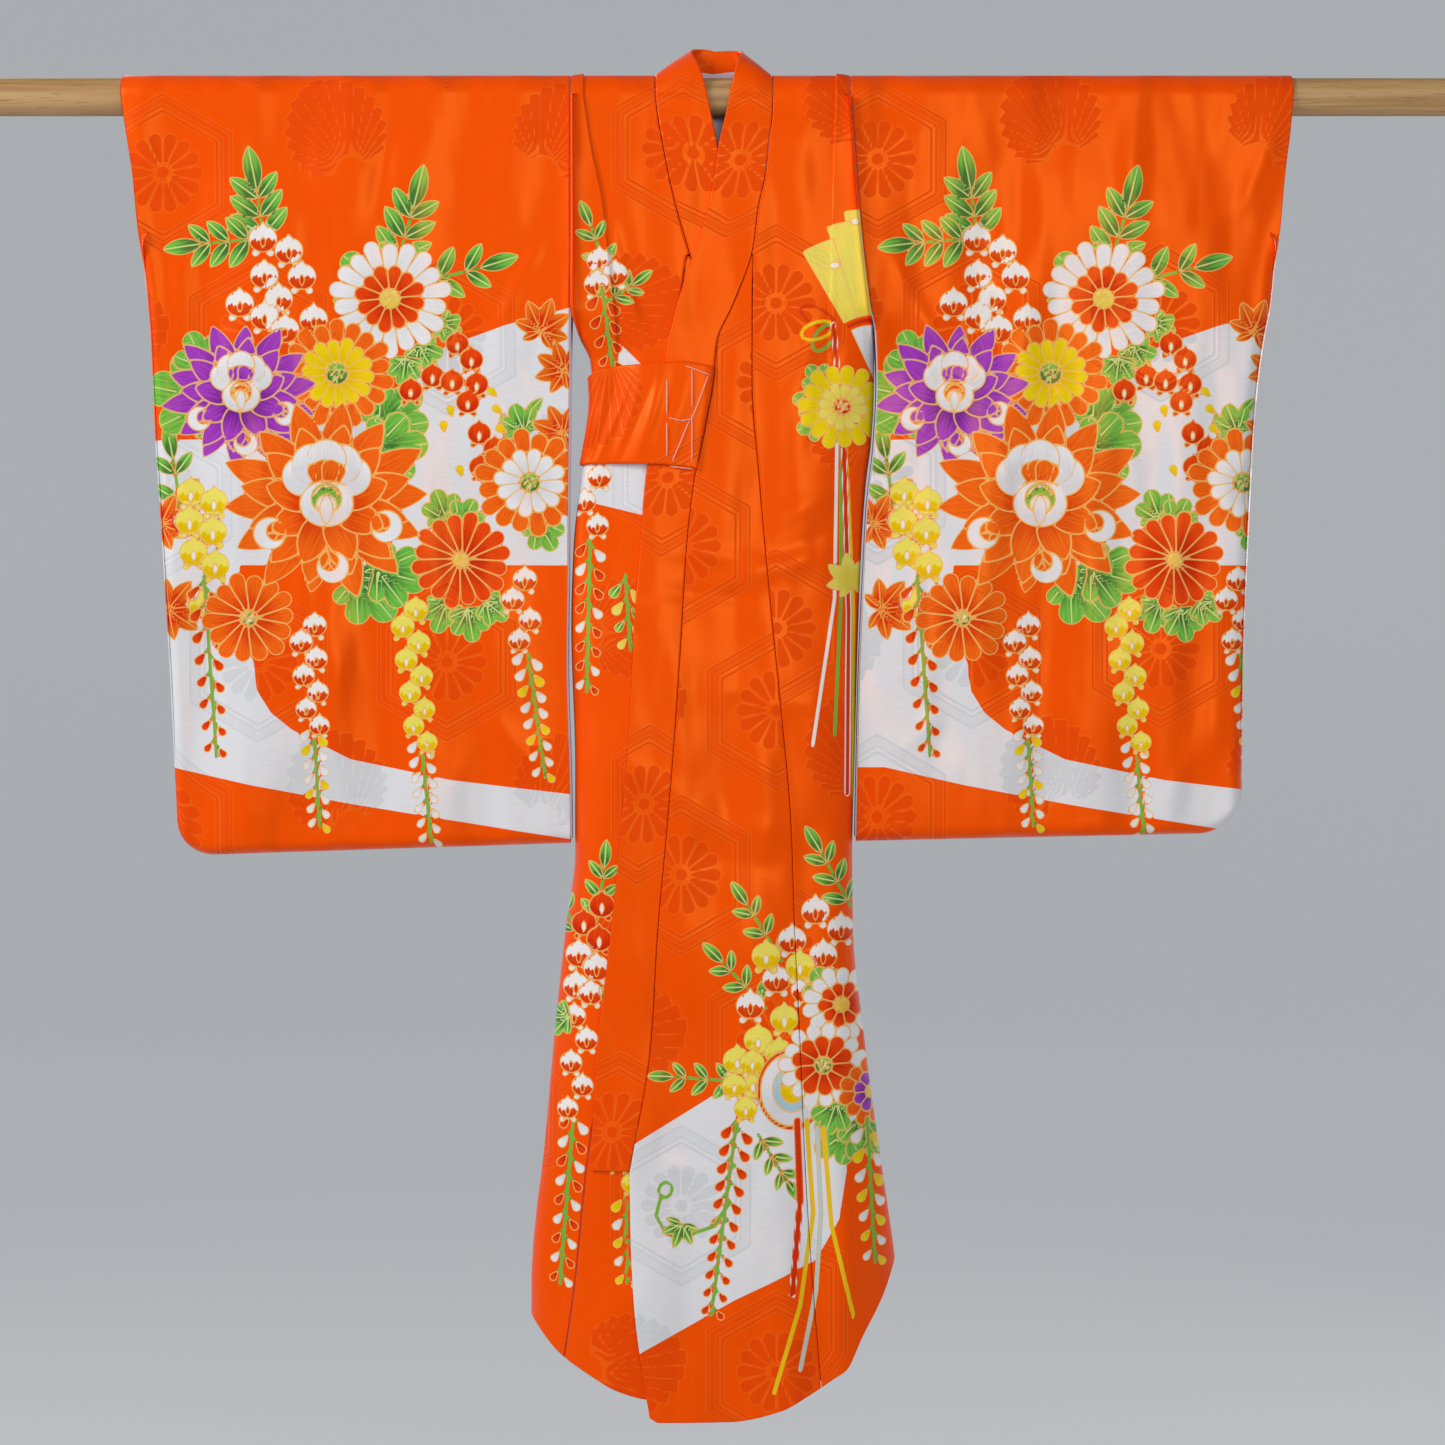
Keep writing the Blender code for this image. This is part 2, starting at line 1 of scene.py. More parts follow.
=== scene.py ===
# %% [markdown]
# A child's long-sleeved kimono on a rod
#
# The real thing is a lined silk kimono for a child of three to five, hung over a wooden pole that runs
# through both sleeves. Its cloth is a satin damask: cranes and turtle-shell hexagons are woven in, and
# flowers are painted over them in resist dyeing, so that each petal keeps a thin undyed outline.
#
# This lesson rebuilds it in Blender. The frame below is the garment's construction, already at its real
# size. Every sheet of cloth is worked out here as a function of two parameters on a fine grid, and the
# dyed pattern is painted on the same grid as distances, which a material then cuts to crisp edges.

# %% Load the frame
import math

import bpy
import numpy as np
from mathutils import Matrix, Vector


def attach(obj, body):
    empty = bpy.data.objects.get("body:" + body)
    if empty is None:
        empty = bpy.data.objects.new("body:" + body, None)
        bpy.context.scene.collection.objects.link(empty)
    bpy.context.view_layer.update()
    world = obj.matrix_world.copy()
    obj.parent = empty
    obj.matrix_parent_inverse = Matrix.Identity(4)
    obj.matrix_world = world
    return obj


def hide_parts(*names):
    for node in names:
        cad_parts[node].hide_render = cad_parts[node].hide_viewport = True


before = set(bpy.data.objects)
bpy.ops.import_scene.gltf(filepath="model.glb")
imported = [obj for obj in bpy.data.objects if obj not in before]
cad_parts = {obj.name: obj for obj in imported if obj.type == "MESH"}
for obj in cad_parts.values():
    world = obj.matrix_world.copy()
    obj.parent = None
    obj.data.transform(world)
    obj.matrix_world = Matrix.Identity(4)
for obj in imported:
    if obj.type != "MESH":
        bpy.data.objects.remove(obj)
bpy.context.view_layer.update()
MM = 0.001
print("nodes:", sorted(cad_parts))

# %% [markdown]
# The garment's sizes
#
# A kimono is cut from one narrow bolt, so all its panels are strips. Their edges
# are short tables of widths by the drop below the rod. A table read with
# straight lines would show a kink at each row. A monotone curve through the rows
# has no kinks and never overshoots, so the cloth keeps its measured widths.

# %% Tables and how they are read
ROD_RADIUS = 14.5
CLOTH = 1.6
SEAM = 0.35
FOLD_RADIUS = ROD_RADIUS + SEAM + CLOTH
LAYER_STEP = 3.6
LAYER_STEP_DROP = 36.0
MIDDLE = 4.0
ROUNDNESS = 2.8
SLIT_TOP = 163.0
SLIT_END = 206.0
COLLAR_END = 829.0
OVERLAP_POINT = 126.0
HEM_DROP = 1020.0
HEM_START = 730.0

BODY = {
    "drop": (0, 60, 119, 163, 185, 206, 236, 268, 300, 350, 410, 520, 585, 645, 730, 829, 885, 930,
             975, 1020),
    "right_side": (-104.7, -104.7, -104.7, -104.7, -99, -90, -88, -92, -97.5, -103, -104.7, -101.6, -101.6,
                   -109.0, -118.0, -126.3, -131.7, -134.4, -135.5, -135.5),
    "left_side": (111.7, 115.7, 121, 126.3, 129, 130.5, 130, 128, 124, 120.5, 118, 115, 113.4, 114, 122.7,
                  134.7, 140.1, 143.2, 145.2, 146.3),
    "front": (16.45, 16.6, 17.9, 19, 20, 20.5, 21, 21, 21.5, 23, 25, 28, 30, 32, 34, 37, 39, 40, 41, 42),
    "back": (16.45, 16.8, 17.5, 18, 18.5, 18.8, 19.5, 20, 21, 23, 26, 30, 32, 34, 37, 41, 43, 44, 45, 46),
}
FRONT_LINES = {
    "drop": (0, 18, 36, 60, 90, 119, 163, 192, 222, 256, 300, 350, 410, 480, 560, 645, 730, 829),
    "left_collar_edge": (18.1, 14.6, 10.4, 6.9, 1.5, -7.7, -22, -29, -33.5, -39, -47, -50.8, -55.4, -58.5,
                         -64.7, -73, -83, -89.3),
    "left_collar_seam": (51.6, 50.8, 48.5, 46.2, 40, 36.2, 21, 8.5, 5.5, -0.5, -9.2, -15, -18.5, -23.1,
                         -29.3, -37, -42, -58.5),
    "right_collar_edge": (0.8, 4.6, 8.5, 12.3, 17, 24, 37, 44, 49, 54, 60, 65, 69, 72, 76, 80, 84, 88),
    "right_collar_seam": (-39.3, -37, -33.9, -29.3, -22.3, -13.9, -1, 7, 11.5, 16.5, 22, 27, 31, 34, 38, 42,
                          46, 50),
}
OVERLAP_LINES = {
    "drop": (119, 163, 222, 300, 410, 480, 560, 645, 730, 829, 885, 930, 975, 1020),
    "left_seam": (36.2, 35.6, 35.4, 41, 51, 58, 65, 68, 72, 76, 79, 82, 85, 88),
    "right_seam": (-13.9, -20, -24, -27, -36, -44, -55, -66, -77, -91, -96, -99.5, -104, -108.5),
}
FRONT_EDGES = {
    "drop": (829, 885, 930, 975, 1020),
    "left": (-58.5, -57.5, -55, -50, -43),
    "right": (88, 90, 91, 92, 93),
}
LEFT_HEM = {
    "x": (-43, -36, 18.5, 57.8, 79.3, 98.6, 107.8, 120, 137, 146.3),
    "z": (-1015.6, -1019.5, -1018.7, -1010, -998.7, -986, -980, -956, -924, -899),
}
RIGHT_HEM = {
    "x": (-135.5, -112.4, -87, -63, -46, 0, 60, 95),
    "z": (-943, -969, -985.6, -998, -1002.5, -1006, -1000, -985),
}
BACK_HEM = {"x": (-135.5, -100, 4, 110, 146.3), "z": (-943, -958, -966, -940, -899)}
NECK = {
    "turn": (0, 18, 36, 54, 72, 90, 108, 124, 138, 148),
    "left_seam_x": (51.6, 51.6, 51.6, 51.4, 51, 50, 47, 40, 27, 4),
    "right_seam_x": (-39.3, -39.4, -39.5, -39.5, -39.5, -39.3, -37, -30.5, -18, 4),
    "left_edge": ((18.1, -17.5, 1), (19.8, -17.5, 7), (21.5, -17, 15), (23.5, -15, 23), (25.5, -10, 29.5),
                  (27.3, -2, 34), (27.8, 6, 37), (25.5, 13, 39), (19, 18.5, 39.8), (7, 20.5, 39.5)),
    "right_edge": ((0.8, -17.5, 1), (-1, -17.5, 8), (-3.2, -17, 16), (-6.5, -15, 24), (-9.5, -10, 30.5),
                   (-11.5, -2, 35), (-11.5, 6, 38), (-9, 13, 40.5), (-3.5, 18.5, 41.2), (7, 20.5, 39.5)),
}
TUCK = {
    "drop": (0, 46, 79, 119, 179, 211, 256, 300),
    "right_x": (-95, -87.8, -80.9, -76, -69.3, -67.8, -66, -66),
    "left_x": (101, 99, 98, 97, 96, 95, 94, 94),
}
TUCK_HEIGHT = 2.2
TUCK_FADES = 176.0
TUCK_END = 216.0
SLEEVE_EDGES = {
    "drop": (0, 28, 60, 97, 122, 163, 185, 222, 270, 320, 366, 410, 440, 480, 514, 543, 580),
    "right_inner": (-104.7, -104.7, -104.7, -104.7, -104.7, -105, -105.4, -105.8, -106.2, -106.8, -107,
                    -107.6, -107.8, -106.8, -105.4, -104.8, -104.8),
    "right_outer": (-452, -448.1, -443.5, -440, -437.4, -433, -431.2, -429.5, -427.4, -424, -421.2, -418.5,
                    -416.6, -414.5, -412.7, -411, -409),
    "left_inner": (111.7, 113.7, 115.7, 118.5, 121.3, 126.7, 131, 132.8, 130.5, 125, 122.6, 120.4, 119.2, 118,
                   117.1, 116.3, 115.6),
    "left_outer": (453.5, 451.2, 447.5, 444.3, 442, 438, 433.8, 428.5, 424.5, 422, 419.8, 418, 417.2, 416.6,
                   416, 415.5, 415),
}
SLEEVE_DEPTH = {"drop": (0, 60, 160, 350, 580), "depth": (16.45, 14.5, 12, 10.5, 11)}
SLEEVE_BOTTOMS = {
    "right": {"inner": 579, "outer": 589, "corner": 30},
    "left": {"inner": 577.5, "outer": 571, "corner": 34},
}
CUFF_END = 140.0
CUFF_CLOSING = 36.0
SLEEVE_LAST_DROP = 545.0
BOTTOM_ROUND = 9.0
EDGE_ROUND = 11.0
SLEEVE_SWEEP = 440.0
HELD_SHARE = 0.3
HELD_FADES = 60.0
FOLDS_GROW = 330.0
LINING_RISE = 2.6
NECK_BULGE = 1.4
TIE_EDGES = {
    "x": (-112, -89, -80, -68, -32, -20, 8),
    "top": (219, 217, 213, 211, 208.7, 207.5, 212),
    "bottom": (286, 286, 286, 286, 287.5, 289, 293),
}
TIE_FRONT_END = {"top": 6.0, "bottom": -6.5}
TIE_BACK_END = 62.0
TIE_LIFT = 1.2
TIE_SETTLES = 42.0


def curve_through(places, values, at):
    """A monotone curve through rows: a cubic on each stretch, whose slope at a row is the
    weighted harmonic mean of the two stretches beside it, or none where the values turn back."""
    places = np.asarray(places, float)
    values = np.asarray(values, float)
    gaps = np.diff(places)
    slopes = np.diff(values) / gaps
    before, after = slopes[:-1], slopes[1:]
    weight_before = 2.0 * gaps[1:] + gaps[:-1]
    weight_after = gaps[1:] + 2.0 * gaps[:-1]
    same_way = before * after > 0.0
    safe_before = np.where(same_way, before, 1.0)
    safe_after = np.where(same_way, after, 1.0)
    middle = (weight_before + weight_after) / (weight_before / safe_before + weight_after / safe_after)
    tangents = np.concatenate([slopes[:1], np.where(same_way, middle, 0.0), slopes[-1:]])
    at = np.clip(at, places[0], places[-1])
    row = np.clip(np.searchsorted(places, at, side="right") - 1, 0, len(gaps) - 1)
    gap = gaps[row]
    t = (at - places[row]) / gap
    low, high = values[row], values[row + 1]
    return (
        low * (1.0 + 2.0 * t) * (1.0 - t) ** 2
        + gap * tangents[row] * t * (1.0 - t) ** 2
        + high * t**2 * (3.0 - 2.0 * t)
        - gap * tangents[row + 1] * t**2 * (1.0 - t)
    )


def read(table, column, at, key="drop"):
    """A table's column at any places, by the monotone curve through its rows."""
    return curve_through(table[key], table[column], at)


def smooth(value):
    """0 below 0, 1 above 1, and an even curve between."""
    value = np.clip(value, 0.0, 1.0)
    return value * value * (3.0 - 2.0 * value)


print("body at the shoulder:", float(read(BODY, "left_side", 0.0) - read(BODY, "right_side", 0.0)), "mm wide")

# %% [markdown]
# The shape of the body
#
# Hung over a rod, the body is a flat tube that opens towards the hem. Its cross-section is neither
# an ellipse nor a box. A superellipse is between the two, and one exponent sets how square it is.
# The two fronts overlap, so the wearer's left front runs a few millimetres outside the right one.

# %% Rings of the body
BODY_FOLDS = (
    {"top": (-60, 900), "end": (-78, 1020), "width": 16, "height": 4.0, "face": "both"},
    {"top": (104, 640), "end": (104, 1020), "width": 14, "height": 3.5, "face": "both"},
    {"top": (40, 700), "end": (58, 1020), "width": 20, "height": 3.0, "face": "both"},
    {"top": (-10, 760), "end": (-12, 1020), "width": 22, "height": 3.0, "face": "back"},
    {"top": (-90, 500), "end": (30, 575), "width": 12, "height": 2.0, "face": "front"},
    {"top": (0, 380), "end": (108, 352), "width": 10, "height": 2.0, "face": "front"},
    {"top": (-20, 460), "end": (112, 470), "width": 12, "height": 1.8, "face": "front"},
)


def layer_step(drop):
    """How far the top front lies before the under front."""
    return LAYER_STEP * smooth(np.asarray(drop) / LAYER_STEP_DROP)


def ring_sizes(drop, layer, face):
    """Half-widths to -X and +X and the depth of the body's ring, for the under or the top layer."""
    step = layer_step(drop)
    right = MIDDLE - read(BODY, "right_side", drop)
    left = read(BODY, "left_side", drop) - MIDDLE
    depth = read(BODY, face, drop)
    if face == "front" and layer == "top":
        return right + step, left, depth + step
    if face == "front":
        return right, left - step, depth
    return right, left, depth


def ring_angle(x, drop, layer, face):
    """The angle at which a ring passes X: 0 at the +X side and pi at the -X side."""
    right, left, _ = ring_sizes(drop, layer, face)
    x = np.asarray(x, float)
    half = np.where(x < MIDDLE, right, left)
    share = np.clip(np.abs(x - MIDDLE) / half, 0.0, 1.0) ** (ROUNDNESS / 2.0)
    angle = np.arccos(share)
    return np.where(x < MIDDLE, math.pi - angle, angle)


def signed_power(value, power):
    """A power that keeps the value's sign."""
    return np.sign(value) * np.abs(value) ** power


def way_round(angle):
    """How far an angle is from the ring's middle, as the power of it that X grows with."""
    return signed_power(math.pi / 2.0 - angle, 2.0 / ROUNDNESS)


def even_angles(first, last, shares):
    """Ring angles from first to last whose columns are evenly wide. Equal angles would
    leave broad columns beside the middle, so the steps are even in way_round."""
    place = way_round(first) + (way_round(last) - way_round(first)) * shares
    return math.pi / 2.0 - signed_power(place, ROUNDNESS / 2.0)


def ridges(x, drop, folds, face):
    """Soft folds: each is a bell-shaped ridge, or a trough where its height is negative, along
    a straight line. It fades at its top, and at its end unless it runs out at the hem."""
    height = np.zeros(np.broadcast(x, drop).shape)
    for fold in folds:
        if fold["face"] not in (face, "both"):
            continue
        start = np.array(fold["top"], float)
        way = np.array(fold["end"], float) - start
        along = ((x - start[0]) * way[0] + (drop - start[1]) * way[1]) / way.dot(way)
        off = np.hypot(x - start[0] - along * way[0], drop - start[1] - along * way[1])
        fade = smooth(along * 3.0) * (1.0 if fold["end"][1] >= HEM_DROP else smooth((1.0 - along) * 3.0))
        height = height + fold["height"] * fade * np.exp(-((off / fold["width"]) ** 2))
    return height


def ring_points(angle, drop, layer, face, creases=(), lift=0.0):
    """Points of the body at ring angles and drops: X and Y
    follow the superellipse, and Z falls to the hem."""
    right, left, depth = ring_sizes(drop, layer, face)
    power = 2.0 / ROUNDNESS
    cosine = np.cos(angle)
    half = np.where(cosine < 0.0, right, left) + lift
    x = MIDDLE + half * np.sign(cosine) * np.abs(cosine) ** power
    rounded = np.abs(np.sin(angle)) ** power
    closing = smooth((drop - SLIT_TOP) / (SLIT_END - SLIT_TOP))
    soft = ridges(x, drop, BODY_FOLDS, face) + ridges(x, drop, creases, face)
    y = (depth + lift) * (1.0 - closing + closing * rounded) + soft * rounded
    hem = {("front", "top"): LEFT_HEM, ("front", "under"): RIGHT_HEM}.get((face, layer), BACK_HEM)
    pull = np.clip((drop - HEM_START) / (HEM_DROP - HEM_START), 0.0, 1.0) ** 2
    z = -drop + pull * (HEM_DROP + curve_through(hem["x"], hem["z"], x))
    return np.stack([x, -y if face == "front" else y, z], axis=-1)


def over_rod(x, turn, radius):
    """Points over the rod, at turns in degrees from its front."""
    turn = np.radians(turn)
    x, turn = np.broadcast_arrays(np.asarray(x, float), turn)
    return np.stack([x, -radius * np.cos(turn), radius * np.sin(turn)], axis=-1)


print("front at the hem:", round(float(read(BODY, "front", 1020.0)), 1), "mm before the rod's axis")

# %% [markdown]
# Turned-in edges
#
# A kimono has no cut edge to be seen: at every seam and hem the cloth is folded back
# inside. A plain sheet would end in a paper-thin line. Solidify would give it a rim,
# but square, and it doubles every face. So each sheet gets a few more rows and columns
# that roll round its edge in a half circle and run a few millimetres back inside. Where
# two pieces meet, the two rolls leave the fine groove that the eye reads as a seam.

# %% From a grid of points to a piece of cloth
def unit(vectors):
    """Each vector divided by its length."""
    length = np.linalg.norm(vectors, axis=-1, keepdims=True)
    return vectors / np.where(length < 1e-9, 1.0, length)


def outward_normals(points, front):
    """The cross product of a grid's two directions at each point, turned so that
    the one at index front faces the viewer. Also gives the sign of that turn."""
    across = np.gradient(points, axis=1)
    along = np.gradient(points, axis=0)
    normals = unit(np.cross(across, along))
    sign = 1.0 if normals[front][1] < 0.0 else -1.0
    return normals * sign, sign


def turned_in(points, normals, thick, depths):
    """The grid with each of its four edges rolled in. From the edge, a half circle
    as wide as the cloth is thick runs round to the inside, and one last row lies a
    given depth back. depths is for first and last row, first and last column."""
    radius = thick / 2.0
    for axis in (0, 1):
        for end in (0, 1):
            grid = np.moveaxis(points, axis, 0)
            facing = np.moveaxis(normals, axis, 0)
            edge, before = (grid[-1], grid[-2]) if end else (grid[0], grid[1])
            normal = facing[-1] if end else facing[0]
            way = unit(edge - before)
            turns = np.radians([0.0, 60.0, 120.0, 180.0])[:, None, None]
            rolled = edge - radius * way + radius * (np.sin(turns) * way - (1.0 - np.cos(turns)) * normal)
            back = edge - (radius + depths[2 * axis + end]) * way - 2.0 * radius * normal
            strip = np.concatenate([rolled, back[None]])
            still = np.repeat(normal[None], len(strip) - 1, axis=0)
            if end:
                grid = np.concatenate([grid[:-1], strip])
                facing = np.concatenate([facing, still])
            else:
                grid = np.concatenate([strip[::-1], grid[1:]])
                facing = np.concatenate([still, facing])
            points = np.moveaxis(grid, 0, axis)
            normals = np.moveaxis(facing, 0, axis)
    return points


def folded_double(points, front, thick):
    """A sheet laid double: past its last column a half circle,
    then its own columns again, as far inside it as it is thick."""
    normals, _ = outward_normals(points, front)
    edge, normal = points[:, -1:], normals[:, -1:]
    way = unit(edge - points[:, -2:-1])
    turns = np.radians([0.0, 60.0, 120.0, 180.0])[None, :, None]
    rolled = edge + thick / 2.0 * ((np.sin(turns) - 1.0) * way - (1.0 - np.cos(turns)) * normal)
    return np.concatenate([points[:, :-1], rolled, (points - thick * normals)[:, -2:0:-1]], axis=1)


def grid_mesh(name, points, sign, finish, values=None):
    """An object from a grid of points in millimetres, with its
    UV map and its attributes from grids of values."""
    rows, columns = points.shape[:2]
    index = np.arange(rows * columns).reshape(rows, columns)
    corners = [index[:-1, :-1], index[:-1, 1:], index[1:, 1:], index[1:, :-1]]
    quads = np.stack(corners if sign > 0 else corners[::-1], axis=-1).reshape(-1, 4)
    mesh = bpy.data.meshes.new(name)
    mesh.vertices.add(rows * columns)
    mesh.vertices.foreach_set("co", (points * MM).astype(np.float32).ravel())
    mesh.loops.add(quads.size)
    mesh.loops.foreach_set("vertex_index", quads.astype(np.int32).ravel())
    mesh.polygons.add(len(quads))
    mesh.polygons.foreach_set("loop_start", np.arange(0, quads.size, 4, dtype=np.int32))
    mesh.update(calc_edges=True)
    for key, grid in (values or {}).items():
        kept = mesh.attributes.new(key, "FLOAT", "POINT")
        kept.data.foreach_set("value", grid.astype(np.float32).ravel())
    steps = np.linalg.norm(np.diff(points, axis=0), axis=-1).mean(axis=1)
    along = np.concatenate([[0.0], np.cumsum(steps)])
    across = points[..., 0] if values is None else values["x"]
    flat = np.stack([across, np.broadcast_to(along[:, None], across.shape)], axis=-1) * MM
    uv = mesh.uv_layers.new(name="cloth")
    uv.data.foreach_set("uv", flat.reshape(-1, 2)[quads.ravel()].astype(np.float32).ravel())
    mesh.shade_smooth()
    mesh.materials.append(finish)
    piece = bpy.data.objects.new(name, mesh)
    bpy.context.scene.collection.objects.link(piece)
    return piece


def cloth_piece(name, points, front, finish, values, thick=1.3, depths=(6.0, 6.0, 6.0, 6.0)):
    """A sheet of cloth with turned-in edges. The values of each edge carry on over its roll."""
    name = "silk_" + name
    normals, sign = outward_normals(points, front)
    rolled = turned_in(points, normals, thick, depths)
    values = {key: np.pad(grid, 4, mode="edge") for key, grid in values.items()}
    piece = grid_mesh(name, rolled, sign, finish, values)
    print(name, "has", 2 * len(piece.data.polygons), "triangles")
    return piece


# %% [markdown]
# The sleeves
#
# A kimono sleeve is one width of cloth folded at the shoulder, so it hangs as a
# bag: a cuff opening at its outer edge near the top, an open inner edge below the
# armhole, and a rounded lower corner. Its weight draws a few long soft folds from
# the rod down. One surface runs up the front, over the rod and down the back.

# %% The sleeve's surface
SLEEVE_FOLDS = {
    "across": (0.13, 0.36, 0.58, 0.80),
    "spread": (0.060, 0.085, 0.075, 0.060),
    "front": (3.5, 2.6, 4.0, 3.0),
    "back": (3.0, 3.6, 2.4, 3.4),
    "starts": (150, 60, 110, 40),
}
SLEEVE_CREASES = {
    "right": (
        {"top": (-452, 8), "end": (-402, 92), "width": 7, "height": 1.3, "face": "both"},
        {"top": (-448, 30), "end": (-405, 190), "width": 8, "height": -1.1, "face": "both"},
        {"top": (-330, 6), "end": (-318, 150), "width": 9, "height": 0.9, "face": "front"},
        {"top": (-236, 4), "end": (-262, 120), "width": 8, "height": -0.9, "face": "front"},
        {"top": (-118, 96), "end": (-168, 196), "width": 7, "height": 1.2, "face": "both"},
        {"top": (-112, 130), "end": (-150, 250), "width": 8, "height": -1.1, "face": "both"},
        {"top": (-180, 470), "end": (-112, 520), "width": 8, "height": 1.1, "face": "front"},
        {"top": (-400, 480), "end": (-330, 560), "width": 10, "height": 1.2, "face": "both"},
        {"top": (-250, 20), "end": (-232, 300), "width": 11, "height": 1.1, "face": "back"},
    ),
    "left": (
        {"top": (448, 10), "end": (404, 110), "width": 7, "height": 1.2, "face": "both"},
        {"top": (446, 44), "end": (412, 220), "width": 8, "height": -1.1, "face": "both"},
        {"top": (322, 5), "end": (336, 170), "width": 9, "height": 0.9, "face": "front"},
        {"top": (238, 4), "end": (214, 140), "width": 8, "height": -0.9, "face": "front"},
        {"top": (130, 100), "end": (186, 210), "width": 7, "height": 1.2, "face": "both"},
        {"top": (134, 150), "end": (166, 262), "width": 8, "height": -1.0, "face": "both"},
        {"top": (124, 512), "end": (196, 470), "width": 8, "height": 1.0, "face": "front"},
        {"top": (404, 470), "end": (344, 552), "width": 10, "height": 1.2, "face": "both"},
        {"top": (262, 20), "end": (250, 320), "width": 11, "height": 1.1, "face": "back"},
    ),
}


def sleeve_points(side, drop, shares, face, inset):
    """Points of a sleeve's front or back. X runs from the inner to the outer edge, Z falls by the drop,
    and the depth closes in a quarter ellipse at the outer edge below the cuff and round the bottom."""
    bottom = SLEEVE_BOTTOMS[side]
    away = 1.0 if side == "left" else -1.0
    along_body = read(BODY, side + "_side", drop) + away * SEAM
    inner = np.where(drop <= SLIT_TOP, along_body, read(SLEEVE_EDGES, side + "_inner", drop))
    outer = read(SLEEVE_EDGES, side + "_outer", drop)
    x = inner + (outer - inner) * shares
    from_edge = np.abs(outer - inner) * (1.0 - shares)
    corner = bottom["corner"]
    reach = np.clip(corner - from_edge, 0.0, corner)
    lowest = bottom["inner"] + (bottom["outer"] - bottom["inner"]) * shares
    lowest = lowest - (corner - np.sqrt(corner**2 - reach**2))
    wall = np.minimum(drop, SLEEVE_LAST_DROP)
    part = np.clip(drop - SLEEVE_LAST_DROP, 0.0, 1.0) * math.pi / 2.0
    pull = np.clip((wall - SLEEVE_SWEEP) / (SLEEVE_LAST_DROP - SLEEVE_SWEEP), 0.0, 1.0) ** 2
    down = wall + pull * (lowest - BOTTOM_ROUND - SLEEVE_LAST_DROP) + BOTTOM_ROUND * np.sin(part)
    closing = smooth((drop - CUFF_END + CUFF_CLOSING) / CUFF_CLOSING)
    near = np.clip(1.0 - from_edge / EDGE_ROUND, 0.0, 1.0)
    edge_round = 1.0 - closing + closing * np.sqrt(1.0 - near**2)
    own = read(SLEEVE_DEPTH, "depth", wall)
    body = read(BODY, face, wall) + (layer_step(wall) if (side, face) == ("left", "front") else 0.0)
    held = (1.0 - smooth(shares / HELD_SHARE)) * (1.0 - smooth((wall - SLIT_TOP) / HELD_FADES))
    depth = own + (body - own) * held
    for across, spread, deep, starts in zip(
        SLEEVE_FOLDS["across"], SLEEVE_FOLDS["spread"], SLEEVE_FOLDS[face], SLEEVE_FOLDS["starts"]
    ):
        bell = np.exp(-(((shares - across) / spread) ** 2))
        depth = depth + deep * smooth((wall - starts) / FOLDS_GROW) * bell
    depth = depth + ridges(x, wall, SLEEVE_CREASES[side], face) * smooth(shares * 12.0)
    y = (depth - inset) * np.cos(part) * edge_round
    down = down - LINING_RISE * inset * (1.0 - np.cos(part))
    return np.stack([x, -y if face == "front" else y, -down], axis=-1)


def sleeve_grid(side, step, back_step, shares, inset=0.0):
    """The rows of a sleeve: up the front, over the rod, down the back, and which of them are on the front."""
    ends = SLEEVE_LAST_DROP + np.linspace(1.0, 0.0, 7)[:-1]
    front = np.concatenate([ends, np.arange(SLEEVE_LAST_DROP, 1.0, -step)])[:, None]
    back = np.concatenate([ends, np.arange(SLEEVE_LAST_DROP, 1.0, -back_step)])[::-1][:, None]
    turns = np.linspace(0.0, 180.0, 19)[:, None]
    away = 1.0 if side == "left" else -1.0
    inner, outer = read(BODY, side + "_side", 0.0) + away * SEAM, read(SLEEVE_EDGES, side + "_outer", 0.0)
    x = inner + (outer - inner) * shares
    radius = max(FOLD_RADIUS - inset, ROD_RADIUS + 0.2)
    over = over_rod(np.broadcast_to(x, (len(turns), x.shape[1])), turns, radius)
    points = np.concatenate([
        sleeve_points(side, front, shares, "front", inset),
        over,
        sleeve_points(side, back, shares, "back", inset),
    ])
    return points, len(front) + len(turns) // 2


edge_shares = 0.955 + 0.045 * (1.0 - (1.0 - np.linspace(0.0, 1.0, 12)[1:]) ** 1.7)
SLEEVE_SHARES = np.concatenate([np.linspace(0.0, 0.955, 156), edge_shares])[None, :]
sleeve_grids = {side: sleeve_grid(side, 2.0, 3.0, SLEEVE_SHARES) for side in ("right", "left")}
print("a sleeve's grid is", sleeve_grids["right"][0].shape[:2])

# %% [markdown]
# The body and its overlaps
#
# Each half of the body is one length of cloth from the front hem over the shoulder
# to the back hem. A child's kimono is made too wide and taken in with a tuck at
# the shoulder, which is let out as the child grows. The tuck is a step in the
# surface, so the grid's columns are gathered at its line and the step stays sharp.

